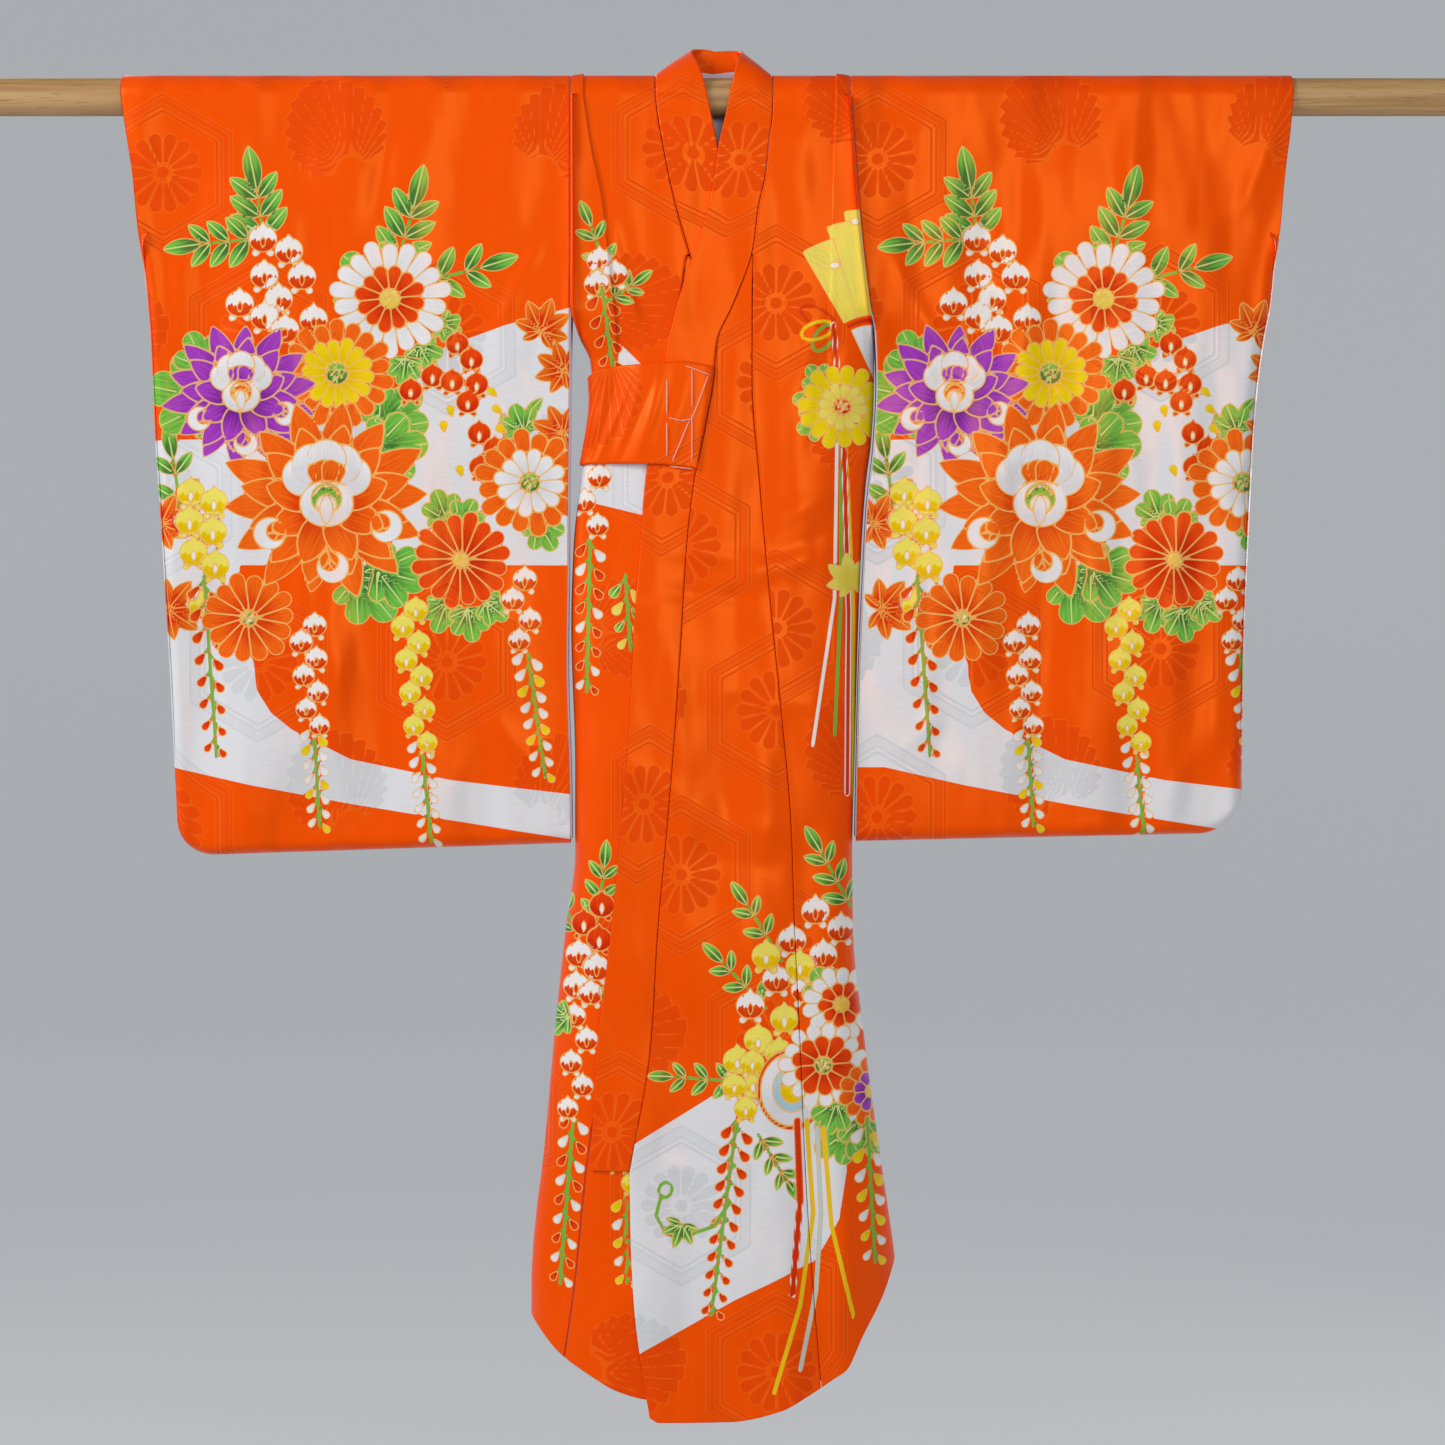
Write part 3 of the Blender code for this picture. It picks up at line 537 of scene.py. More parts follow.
# %% The body's surfaces
BODY_CREASES = (
    {"top": (-96, 372), "end": (-40, 398), "width": 7, "height": 1.4, "face": "front"},
    {"top": (-98, 392), "end": (-30, 430), "width": 7, "height": -1.2, "face": "front"},
    {"top": (120, 300), "end": (34, 338), "width": 9, "height": 1.3, "face": "front"},
    {"top": (118, 330), "end": (20, 372), "width": 8, "height": -1.2, "face": "front"},
    {"top": (-46, 352), "end": (70, 366), "width": 8, "height": 1.2, "face": "front"},
    {"top": (-52, 384), "end": (60, 392), "width": 7, "height": -1.1, "face": "front"},
    {"top": (100, 455), "end": (6, 472), "width": 8, "height": -1.2, "face": "front"},
    {"top": (-30, 560), "end": (84, 574), "width": 11, "height": 1.3, "face": "front"},
    {"top": (-36, 586), "end": (70, 600), "width": 10, "height": -1.1, "face": "front"},
    {"top": (-50, 822), "end": (30, 832), "width": 9, "height": 1.2, "face": "front"},
    {"top": (96, 150), "end": (58, 262), "width": 8, "height": 1.3, "face": "front"},
    {"top": (108, 170), "end": (74, 300), "width": 8, "height": -1.1, "face": "front"},
    {"top": (-84, 60), "end": (-50, 196), "width": 6, "height": 1.2, "face": "front"},
    {"top": (-70, 90), "end": (-38, 200), "width": 6, "height": -1.0, "face": "front"},
    {"top": (-92, 290), "end": (60, 330), "width": 10, "height": 1.8, "face": "back"},
    {"top": (110, 300), "end": (10, 352), "width": 10, "height": -1.6, "face": "back"},
    {"top": (-88, 380), "end": (70, 400), "width": 12, "height": 1.8, "face": "back"},
    {"top": (-40, 560), "end": (90, 590), "width": 12, "height": 1.6, "face": "back"},
    {"top": (-90, 120), "end": (-30, 230), "width": 9, "height": 1.4, "face": "back"},
    {"top": (100, 110), "end": (44, 236), "width": 9, "height": 1.4, "face": "back"},
    {"top": (60, 760), "end": (74, 1020), "width": 18, "height": 2.6, "face": "back"},
)
NECK_TURNS = {"turn": NECK["turn"], "left": NECK["left_seam_x"], "right": NECK["right_seam_x"]}


def body_grid(side, step, back_step, columns):
    """The rows of one half of the body: up its front from the hem, over the rod and down its back."""
    layer = "top" if side == "left" else "under"
    away = 1.0 if side == "left" else -1.0
    side_angle = 0.0 if side == "left" else math.pi
    inside = np.linspace(0.0, 1.0, columns[0])[None, :]
    outside = np.linspace(0.0, 1.0, columns[1])[None, :]

    def spread(fold_share):
        before = inside * (fold_share - 0.006)
        return np.concatenate([before, fold_share + (1.0 - fold_share) * outside], axis=1)

    def raised(shares, drop):
        strength = 1.0 - smooth((drop - TUCK_FADES) / (TUCK_END - TUCK_FADES))
        column = np.arange(shares.shape[1])[None, :] >= columns[0]
        return np.where(column, TUCK_HEIGHT * strength * (1.0 - shares**6), 0.0)

    def wall(drop, face):
        if face == "back":
            inner = np.full_like(drop, MIDDLE + away * SEAM / 2.0)
        else:
            by_collar = read(FRONT_LINES, side + "_collar_seam", drop)
            by_overlap = read(OVERLAP_LINES, side + "_seam", drop)
            inner = np.where(drop < OVERLAP_POINT, by_collar, by_overlap) + away * SEAM
        start = ring_angle(inner, drop, layer, face)
        fold = ring_angle(read(TUCK, side + "_x", drop), drop, layer, face)
        fold_share = (way_round(fold) - way_round(start)) / (way_round(side_angle) - way_round(start))
        shares = spread(np.clip(fold_share, 0.25, 0.88))
        points = ring_points(even_angles(start, side_angle, shares), drop, layer, face, BODY_CREASES)
        lift = raised(shares, drop)
        points[..., 1] += lift if face == "back" else -lift
        return points

    turns = np.linspace(0.0, 180.0, 19)[:, None]
    inner = read(NECK_TURNS, side, turns, "turn") + away * SEAM / 2.0
    edge = BODY[side + "_side"][0]
    shares = spread(np.clip((TUCK[side + "_x"][0] - inner) / (edge - inner), 0.25, 0.88))
    over = over_rod(inner + (edge - inner) * shares, turns, FOLD_RADIUS + raised(shares, 0.0))
    front = np.arange(HEM_DROP, 1.0, -step)[:, None]
    back = np.arange(HEM_DROP, 1.0, -back_step)[::-1][:, None]
    return np.concatenate([wall(front, "front"), over, wall(back, "back")]), len(front) + len(turns) // 2


def overlap_grid(side, step, columns):
    """The long wedge between a body front and the collar, from its point down to the hem."""
    layer = "top" if side == "left" else "under"
    away = 1.0 if side == "left" else -1.0
    drop = np.arange(OVERLAP_POINT, HEM_DROP + 0.1, step)[:, None]
    seam = read(OVERLAP_LINES, side + "_seam", drop)
    by_collar = read(FRONT_LINES, side + "_collar_seam", drop) + away * SEAM
    edge = np.where(drop <= COLLAR_END, by_collar, read(FRONT_EDGES, side, drop))
    first = ring_angle(edge, drop, layer, "front")
    last = ring_angle(seam, drop, layer, "front")
    shares = np.linspace(0.0, 1.0, columns)[None, :]
    return ring_points(even_angles(first, last, shares), drop, layer, "front", BODY_CREASES)


body_grids = {side: body_grid(side, 2.0, 3.0, (30, 32)) for side in ("right", "left")}
overlap_grids = {"left": overlap_grid("left", 2.0, 64), "right": overlap_grid("right", 3.0, 66)}
print("a body half's grid is", body_grids["left"][0].shape[:2])

# %% [markdown]
# Collar and tie
#
# The collar is one long strip folded double, so its sheet runs out to the free edge,
# turns there in a half circle and runs back inside itself. It starts low on the left
# front, goes up and round the neck and down again under the left front, and it stands
# up freely behind the neck. The tie is a stitched band sewn to the left front. It is
# taken round the right side to the back and lies on the collar near its sewn end.

# %% The collar's and the tie's surfaces
TIE_CREASES = (
    {"along": 0.10, "lean": 0.10, "height": 1.6, "spread": 0.035},
    {"along": 0.22, "lean": 0.12, "height": 1.8, "spread": 0.035},
    {"along": 0.36, "lean": 0.14, "height": 1.4, "spread": 0.035},
    {"along": 0.29, "lean": 0.20, "height": -0.9, "spread": 0.022},
    {"along": 0.46, "lean": 0.26, "height": 1.0, "spread": 0.026},
    {"along": 0.56, "lean": 0.18, "height": -0.8, "spread": 0.024},
    {"along": 0.66, "lean": 0.22, "height": 1.0, "spread": 0.028},
    {"along": 0.78, "lean": 0.10, "height": -0.8, "spread": 0.030},
)


def collar_grid(step, columns):
    """The rows of the collar: up the left front, round the neck and down the right front. At the
    neck each row runs from the seam on the rod to the free edge, with a slight bulge between."""
    shares = np.linspace(0.0, 1.0, columns)[None, :]

    def on_front(side, drop):
        layer = "top" if side == "left" else "under"
        seam = ring_angle(read(FRONT_LINES, side + "_collar_seam", drop), drop, layer, "front")
        edge = ring_angle(read(FRONT_LINES, side + "_collar_edge", drop), drop, layer, "front")
        return ring_points(even_angles(seam, edge, shares), drop, layer, "front", BODY_CREASES)

    def at_neck(side, turns):
        away = 1.0 if side == "left" else -1.0
        seam = over_rod(read(NECK, side + "_seam_x", turns, "turn") - away * SEAM, turns, FOLD_RADIUS + 0.6)
        edges = np.array(NECK[side + "_edge"], float)
        edge = np.stack([curve_through(NECK["turn"], edges[:, axis], turns) for axis in range(3)], axis=-1)
        outward = over_rod(np.zeros_like(turns), turns, 1.0)
        bulge = NECK_BULGE * np.sin(math.pi * shares)
        return seam + (edge - seam) * shares[..., None] + outward * bulge[..., None]

    turns = np.linspace(0.0, 148.0, 50)[:, None]
    rising = np.arange(COLLAR_END, 3.0, -step)[:, None]
    falling = np.arange(3.0, COLLAR_END, 4.0)[:, None]
    return np.concatenate([
        on_front("left", rising),
        at_neck("left", turns),
        at_neck("right", turns[-2::-1]),
        on_front("right", falling),
    ])


def tie_grid(rows, back_rows, columns):
    """The tie's rows from its sewn end round the right side and across the back. Its columns run from
    its top to its bottom edge, and each point's drop and X are brought into step by a few rounds."""
    share = np.linspace(0.0, 1.0, columns)[None, :]
    front = np.linspace(0.0, 1.0, rows)[:, None]
    end_x = TIE_FRONT_END["top"] + (TIE_FRONT_END["bottom"] - TIE_FRONT_END["top"]) * share

    def drop_at(x):
        top = read(TIE_EDGES, "top", x, "x")
        return top + (read(TIE_EDGES, "bottom", x, "x") - top) * share

    drop = drop_at(end_x)
    start = ring_angle(end_x, drop, "under", "front")
    angle = start + (math.pi - start) * front
    drop = np.broadcast_to(drop, angle.shape)
    for _ in range(4):
        x = ring_points(angle, drop, "under", "front")[..., 0]
        drop = drop_at(x)
    on_collar = 1.0 - smooth((read(FRONT_LINES, "left_collar_edge", drop) - x) / TIE_SETTLES)
    outside = TIE_LIFT + 2.2
    points = ring_points(angle, drop, "under", "front", BODY_CREASES, outside)
    points[..., 1] -= LAYER_STEP * on_collar
    for crease in TIE_CREASES:
        off = (front - crease["along"] - crease["lean"] * (share - 0.5)) / crease["spread"]
        points[..., 1] -= crease["height"] * np.exp(-(off**2)) * np.sin(math.pi * share)
    last = drop[-1:]
    end = ring_angle(np.full_like(last, TIE_BACK_END), last, "top", "back")
    behind = np.linspace(0.0, 1.0, back_rows)[1:, None]
    across = math.pi + (end - math.pi) * behind
    rest = ring_points(across, np.broadcast_to(last, across.shape), "under", "back", BODY_CREASES, outside)
    return np.concatenate([points, rest])


FRONT_OF_COLLAR = (60, 10)
TIE_ROWS = 64
collar_points = collar_grid(2.5, 24)
collar_double = folded_double(collar_points, FRONT_OF_COLLAR, 2.0)
tie_points = tie_grid(TIE_ROWS, 50, 38)
print("the collar's grid is", collar_points.shape[:2], "and the tie's", tie_points.shape[:2])

# %% [markdown]
# Linings
#
# Inside, the kimono is lined with plain pale silk. It shows at the neck, at the open edges of the
# sleeves and from below. It takes the same formulas with an inset, on a coarse grid, because it
# carries no print. At the neck it is a narrow strip along the foot of the collar's inner face.

# %% The linings' surfaces
INSET = 2.1


def lining_of_sleeve(side):
    """The inside of a sleeve, as far as its open edges."""
    shares = np.concatenate([[-0.0035, 0.004], np.linspace(0.03, 0.955, 36), [0.968, 0.978]])[None, :]
    return sleeve_grid(side, 8.0, 8.0, shares, INSET)[0]


def lining_of_back():
    """The inside of the back from the neck to the hem."""
    drop = np.concatenate([[6.0, 11.0], np.linspace(17.0, 1012.0, 100)])[:, None]
    angle = np.linspace(math.pi - 0.06, 0.06, 44)[None, :]
    return ring_points(angle, drop, "under", "back", BODY_CREASES, -INSET)


def lining_of_front(side):
    """The inside of a front, from below the neck to the hem."""
    drop = np.linspace(172.0, 1012.0, 86)[:, None]
    if side == "right":
        inner = np.interp(drop, (172, 829, 1020), (2.0, 48.0, 88.0))
        first, last = ring_angle(inner, drop, "under", "front"), np.full_like(drop, math.pi - 0.06)
    else:
        inner = np.interp(drop, (172, 829, 1020), (42.0, 84.0, 96.0))
        first, last = ring_angle(inner, drop, "top", "front"), np.full_like(drop, 0.06)
    layer = "under" if side == "right" else "top"
    shares = np.linspace(0.0, 1.0, 30)[None, :]
    return ring_points(first + (last - first) * shares, drop, layer, "front", BODY_CREASES, -INSET)


def lining_of_neck():
    """A narrow strip along the foot of the collar's inner face, behind the neck."""
    normals, _ = outward_normals(collar_points, FRONT_OF_COLLAR)
    rows = np.flatnonzero(collar_points[:, 0, 1] > -4.0)
    return (collar_points - 2.6 * normals)[rows[0]:rows[-1] + 1, :9]


linings = {
    "sleeve_lining_right": lining_of_sleeve("right"),
    "sleeve_lining_left": lining_of_sleeve("left"),
    "back_lining": lining_of_back(),
    "front_lining_right": lining_of_front("right"),
    "front_lining_left": lining_of_front("left"),
    "neck_lining": lining_of_neck(),
}
print({name: points.shape[:2] for name, points in linings.items()})

# %% [markdown]
# How the flowers are dyed
#
# In resist dyeing a line of paste is drawn round each petal, the colours are brushed in between the
# lines, and the washed-out paste leaves a pale line. The same steps work here. A drawing keeps one
# number a point for each dye: the distance inside the nearest edge of that dye, negative outside. A new
# shape is laid over the others, so it raises its own dye's number and lowers all the rest. The material
# later colours what is above zero, and draws the paste line just inside it. Each colour has two dyes, a
# and b, for neighbouring petals, because two petals of one dye would melt together, and c and d where a
# second ring of petals lies on the first. Thin stems, cords and marks are drawn last, by hand, and have
# no paste line. A distance stays sharp on a 2 mm grid, where a painted colour would blur.

# %% A drawing and the way a shape is laid on it
REACH = 8.0
COLOURS = ("white", "pale", "yellow", "orange", "red", "purple", "green")
DYES = ("panel", "blue", "maple") + tuple(colour + layer for colour in COLOURS for layer in ("_a", "_b"))
DYES += ("orange_c", "orange_d", "purple_c", "purple_d")
BARE_DYES = ("stem", "red mark", "white mark", "gold mark")
DYES += BARE_DYES
SHEET_WIDE = 353.0


def blank_drawing(x, y):
    """An empty drawing for points at x across and y down, in millimetres."""
    drawing = {dye: np.full(x.shape, -REACH) for dye in DYES + ("brushed",)}
    drawing.update(x=x, y=y, along=np.zeros(x.shape), across=np.zeros(x.shape))
    return drawing


def lay(drawing, dye, at, size, shape):
    """Lay one shape over the drawing. shape takes places right of and below the point at, and gives the
    distance inside its edge and the places along and across it. Without a dye it uncovers the ground."""
    near = (np.abs(drawing["x"] - at[0]) < size + REACH) & (np.abs(drawing["y"] - at[1]) < size + REACH)
    if not near.any():
        return
    inside, along, across = shape(drawing["x"][near] - at[0], drawing["y"][near] - at[1])
    inside = np.clip(inside, -REACH, REACH)
    for name in DYES + ("brushed",):
        drawing[name][near] = np.minimum(drawing[name][near], -inside)
    if dye:
        drawing[dye][near] = np.maximum(drawing[dye][near], inside)
    over = inside > -1.2
    drawing["along"][near] = np.where(over, along, drawing["along"][near])
    drawing["across"][near] = np.where(over, across, drawing["across"][near])


def petal(drawing, dye, root, tip, wide, pointed=False):
    """A petal from root to tip. A pointed one is where two equal
    circles overlap. A round one is a wedge with a round end."""
    way = np.subtract(tip, root)
    length = math.hypot(*way)
    way = way / length
    middle = np.add(root, tip) / 2.0
    circle = (length**2 + wide**2) / (4.0 * wide)
    end, start = wide / 2.0, wide * 0.14

    def shape(u, v):
        along = u * way[0] + v * way[1]
        across = v * way[0] - u * way[1]
        if pointed:
            inside = circle - np.hypot(along, np.abs(across) + circle - wide / 2.0)
        else:
            reach = max(length - end - start, 0.1)
            share = np.clip((along + length / 2.0 - start) / reach, 0.0, 1.0)
            off = np.hypot(along + length / 2.0 - start - share * reach, across)
            inside = start + (end - start) * share**0.8 - off
        return inside, along / length + 0.5, across

    lay(drawing, dye, middle, length / 2.0 + wide / 2.0, shape)


def disc(drawing, dye, at, radius, squash=1.0, beak=0.0):
    """A disc, lower than wide by squash, with an optional small point at its top."""

    def shape(u, v):
        inside = (radius - np.hypot(u, v / squash)) * min(1.0, squash)
        if beak:
            cone = (v + radius * squash + beak) * 0.62 - np.abs(u)
            inside = np.maximum(inside, np.minimum(cone * 0.8, -v))
        return inside, 0.5 - v / (2.0 * radius), u

    lay(drawing, dye, at, radius + beak, shape)


def crescent(drawing, dye, at, radius, turn, hollow=0.62):
    """A new moon: a disc less a smaller one moved towards turn, in degrees anticlockwise from the right."""
    way = np.array([math.cos(math.radians(turn)), -math.sin(math.radians(turn))])
    off = way * radius * (1.05 - hollow)

    def shape(u, v):
        inside = np.minimum(radius - np.hypot(u, v), np.hypot(u - off[0], v - off[1]) - radius * hollow)
        return inside, np.full(u.shape, 0.8), np.full(u.shape, 3.0)

    lay(drawing, dye, at, radius, shape)


def band(drawing, dye, points, wide):
    """A cord or stem: everything nearer than half its width to a chain of straight pieces."""
    points = np.array(points, float)
    middle = (points.min(axis=0) + points.max(axis=0)) / 2.0
    size = float((points.max(axis=0) - points.min(axis=0)).max()) / 2.0 + wide

    def shape(u, v):
        nearest = np.full(u.shape, 1e3)
        for start, end in zip(points[:-1] - middle, points[1:] - middle):
            way = end - start
            share = np.clip(((u - start[0]) * way[0] + (v - start[1]) * way[1]) / way.dot(way), 0.0, 1.0)
            off_x, off_y = u - start[0] - share * way[0], v - start[1] - share * way[1]
            nearest = np.minimum(nearest, np.hypot(off_x, off_y))
        return wide / 2.0 - nearest, np.full(u.shape, 0.9), np.full(u.shape, 3.0)

    lay(drawing, dye, middle, size, shape)


def lobed(drawing, dye, root, turn, size, lobes, wide, pointed):
    """A leaf of several lobes from one root: the largest of the lobes' distances, so no line shows
    between them. lobes gives each lobe's turn from the leaf's own and its length as a part of size."""
    ways = [(math.radians(turn + lean), size * part) for lean, part in lobes]

    def shape(u, v):
        best = np.full(u.shape, -1e3)
        along = np.zeros(u.shape)
        across = np.zeros(u.shape)
        for angle, length in ways:
            a = u * math.cos(angle) - v * math.sin(angle)
            c = v * math.cos(angle) + u * math.sin(angle)
            half = length * wide / 2.0
            if pointed:
                circle = (length**2 + 4.0 * half**2) / (8.0 * half)
                inside = circle - np.hypot(a - length / 2.0, np.abs(c) + circle - half)
            else:
                share = np.clip(a / (length - half), 0.0, 1.0)
                inside = half * (0.35 + 0.65 * share) - np.hypot(a - share * (length - half), c)
            better = inside > best
            best = np.where(better, inside, best)
            along = np.where(better, a / length, along)
            across = np.where(better, c, across)
        return best, along, across

    lay(drawing, dye, root, size * 1.2, shape)


def fan_fold(drawing, dye, pivot, turns, near, far):
    """A part of an open fan: a wedge between two turns about its
    pivot, cut off at a near and a far radius."""
    middle = math.radians(sum(turns) / 2.0)
    half = math.radians(abs(turns[0] - turns[1]) / 2.0)

    def shape(u, v):
        along = u * math.cos(middle) - v * math.sin(middle)
        across = v * math.cos(middle) + u * math.sin(middle)
        radius = np.hypot(u, v)
        side = along * math.sin(half) - np.abs(across) * math.cos(half)
        inside = np.minimum(side, np.minimum(radius - near, far - radius))
        return inside, radius / far, across

    lay(drawing, dye, pivot, far, shape)


def toward(at, turn, length, squash=1.0):
    """The point at a turn, anticlockwise from the right, and a length from another point."""
    angle = math.radians(turn)
    return at[0] + length * math.cos(angle), at[1] - length * math.sin(angle) * squash


print("a drawing holds", len(DYES), "dyes")

# %% [markdown]
# Flowers, leaves and hanging clusters
#
# The motifs are the usual ones of such a kimono: chrysanthemums, peonies, wisteria and maple. Each is
# a rule with a few sizes, not a copy of a drawing. Petals go round in a ring, and their lengths vary
# a little. A wisteria cluster hangs in two staggered rows and ends in small buds on a green stem.

# %% The motifs
FLOWER_SQUASH = 0.96
FLORET_RADIUS = 9.5
STEM_WIDE = 2.6
STALK_WIDE = 2.2


def ring_of_petals(
    drawing, colour, at, count, inner, outer, fill, turn, squash, pointed=False, dyes="ab"
):
    """Petals round a centre. fill is a petal's width as a part of its room at two thirds of its length."""
    wide = 2.0 * math.pi * outer * 0.66 / count * fill
    for index in range(count):
        angle = turn + 360.0 * index / count
        length = outer * (1.0 + 0.05 * math.sin(index * 2.4 + outer))
        dye = colour + "_" + dyes[index % 2]
        root, tip = toward(at, angle, inner, squash), toward(at, angle, length, squash)
        petal(drawing, dye, root, tip, wide, pointed)


def seeds(drawing, dye, at, radius, spot, count):
    """Small dots over a flower's centre, set by the golden angle."""
    for index in range(count):
        place = radius * math.sqrt((index + 0.5) / count)
        disc(drawing, dye, toward(at, index * 137.5, place), spot)


def chrysanthemum(drawing, at, radius, rings, centre, centre_part, turn=10.0):
    """Rings of round petals, given as colour, number and outer part of the radius, and a dotted centre."""
    for colour, count, part in rings:
        ring_of_petals(drawing, colour, at, count, radius * 0.10, radius * part, 1.18, turn, FLOWER_SQUASH)
        turn += 180.0 / count
    disc(drawing, centre + "_a", at, radius * centre_part, FLOWER_SQUASH)
    other = "gold mark" if centre in ("pale", "yellow") else "white mark"
    seeds(drawing, other, at, radius * centre_part * 0.72, 0.75, 10)


def peony(drawing, colour, at, radius, cup, turn=4.0):
    """Three rings of pointed petals, three curled tips, a
    scalloped white cup and a seed head with a dotted arch."""
    for sunk, count, inner, outer, fill, more, squash, dyes in (
        (0.0, 14, 0.12, 1.0, 1.05, 0.0, 0.94, "ab"), (0.03, 12, 0.08, 0.80, 1.05, 14.0, 0.94, "cd"),
        (0.06, 8, 0.05, 0.60, 0.95, 200.0, 0.92, "ab"),
    ):
        low = (at[0], at[1] + radius * sunk)
        ring_of_petals(
            drawing, colour, low, count, radius * inner, radius * outer,
            fill, turn + more, squash, True, dyes,
        )
    for angle, part, bend in ((205.0, 0.60, 20.0), (342.0, 0.60, 150.0), (276.0, 0.58, 120.0)):
        crescent(drawing, "white_a", toward(low, angle, radius * part), radius * 0.15, bend)
    heart = (at[0], at[1] - radius * 0.14)
    for index, angle in enumerate((158.0, 22.0, 124.0, 56.0, 90.0)):
        dye = "white_a" if index % 2 else "white_b"
        disc(drawing, dye, toward(heart, angle, cup * 0.62), cup * 0.46)
    for index, lean in enumerate((-30.0, 30.0, -10.0, 12.0)):
        dye = colour + ("_a" if index % 2 else "_b")
        root = (heart[0], heart[1] + cup * 0.3)
        petal(drawing, dye, root, toward(heart, 90.0 - lean, cup * 0.62), cup * 0.42)
    disc(drawing, "white_a", (heart[0], heart[1] + cup * 0.42), cup * 0.62, 0.86)
    arch = (heart[0], heart[1] + cup * 0.30)
    seed_dye = "green_a" if colour != "purple" else "orange_a"
    crescent(drawing, seed_dye, arch, cup * 0.36, 270.0, 0.66)
    for index in range(9):
        disc(drawing, "white mark", toward(arch, 20.0 + 17.5 * index, cup * 0.29), 0.8)
    root, tip = (arch[0], arch[1] + cup * 0.62), (arch[0], arch[1] - cup * 0.10)
    petal(drawing, "white_b", root, tip, cup * 0.30, True)


def leaf(drawing, root, turn, length, wide, dye):
    """A plain pointed leaf."""
    petal(drawing, dye, root, toward(root, turn, length), length * wide, True)


def sprig(drawing, root, tip, pairs, length):
    """A stem with pairs of leaves and one at its tip."""
    turn = math.degrees(math.atan2(root[1] - tip[1], tip[0] - root[0]))
    band(drawing, "stem", (root, tip), STEM_WIDE)
    for index in range(pairs):
        share = (index + 0.35) / pairs
        at = (root[0] + (tip[0] - root[0]) * share, root[1] + (tip[1] - root[1]) * share)
        size = length * (1.0 - 0.14 * share)
        leaf(drawing, at, turn + 52.0 - 8.0 * share, size, 0.44, "green_a")
        leaf(drawing, at, turn - 50.0 + 8.0 * share, size * 0.94, 0.44, "green_b")
    leaf(drawing, toward(tip, turn, -length * 0.1), turn + 3.0, length * 1.15, 0.40, "green_a")


def broad_leaf(drawing, root, turn, size, dye="green_a"):
    """A round-lobed leaf, as a chrysanthemum's or a peony's."""
    lobes = ((0.0, 1.0), (38.0, 0.86), (-38.0, 0.86), (76.0, 0.6), (-76.0, 0.6))
    lobed(drawing, dye, root, turn, size, lobes, 0.52, False)


def maple_leaf(drawing, at, size, turn, dye="maple"):
    """A maple leaf of seven pointed lobes."""
    lobes = ((0.0, 1.0), (42.0, 0.96), (-42.0, 0.96), (86.0, 0.82), (-86.0, 0.82), (130.0, 0.6),
             (-130.0, 0.6))
    lobed(drawing, dye, at, turn, size, lobes, 0.46, True)


def floret(drawing, at, radius, kind, index):
    """One wisteria flower: a round standard with a beak and a slit, and two small
    wings below it. A white or a yellow one is brushed paler from the top."""
    layer = "_a" if index % 2 else "_b"
    other = "_b" if index % 2 else "_a"
    body = {"white": "orange", "yellow": "yellow", "red": "red"}[kind]
    wing = {"white": "white", "yellow": "pale", "red": "red"}[kind]
    for lean in (-62.0, 62.0):
        root = (at[0], at[1] + radius * 0.7)
        petal(drawing, wing + other, root, toward(root, 270.0 + lean, radius * 0.85), radius * 0.5)
    disc(drawing, body + layer, at, radius, 0.92, radius * 0.34)
    near = np.hypot(drawing["x"] - at[0], drawing["y"] - at[1]) < radius * 1.5
    if kind != "red":
        u = drawing["x"][near] - at[0]
        v = drawing["y"][near] - at[1]
        top = np.minimum(drawing[body + layer][near], -(v + radius * 0.05) + 0.16 * np.abs(u))
        drawing["brushed"][near] = np.maximum(drawing["brushed"][near], top)
    slit = {"white": "red mark", "yellow": "white mark", "red": "white mark"}[kind]
    low = (at[0], at[1] + radius * 0.62)
    petal(drawing, slit, low, (at[0], at[1] - radius * 0.16), radius * 0.30, True)


def florets_at(drawing, places, radius, kind):
    """Florets of one kind at several places."""
    for index, at in enumerate(places):
        floret(drawing, at, radius, kind, index)


def bud(drawing, dye, at, turn, size):
    """A small drop-shaped bud."""
    petal(drawing, dye, at, toward(at, turn, size), size * 0.66)


def wisteria(drawing, top, end, florets, buds, kinds, bud_dyes):
    """A hanging cluster from top to end: florets in two
    staggered rows above, then buds in pairs on the stem."""
    top, end = np.array(top, float), np.array(end, float)
    share_of_florets = florets / (florets + 0.75 * buds)
    band(drawing, "stem", (top + (end - top) * share_of_florets * 0.6, end), STEM_WIDE)
    for index in range(buds):
        share = share_of_florets * 0.86 + (1.0 - share_of_florets * 0.86) * (index + 0.3) / buds
        at = top + (end - top) * share
        size = 13.5 * (1.0 - 0.35 * share)
        for side, lean in ((-1.0, 232.0), (1.0, 308.0)):
            root = at + (0.0, 2.2 * side)
            knot = toward(root, lean, size * 0.45)
            band(drawing, "stem", (root, knot), STALK_WIDE)
            bud(drawing, bud_dyes[(index + int(side > 0)) % len(bud_dyes)], knot, lean, size)
    for index in range(florets):
        share = share_of_florets * (index + 0.2) / max(florets, 1)
        side = (-1.0 if index % 2 else 1.0) * FLORET_RADIUS * 0.62 * (1.0 - 0.4 * share)
        at = top + (end - top) * share + (side, 0.0)
        floret(drawing, at, FLORET_RADIUS * (1.0 - 0.28 * share), kinds, index)


print("motifs: chrysanthemum, peony, wisteria, maple, sprig and broad leaf")

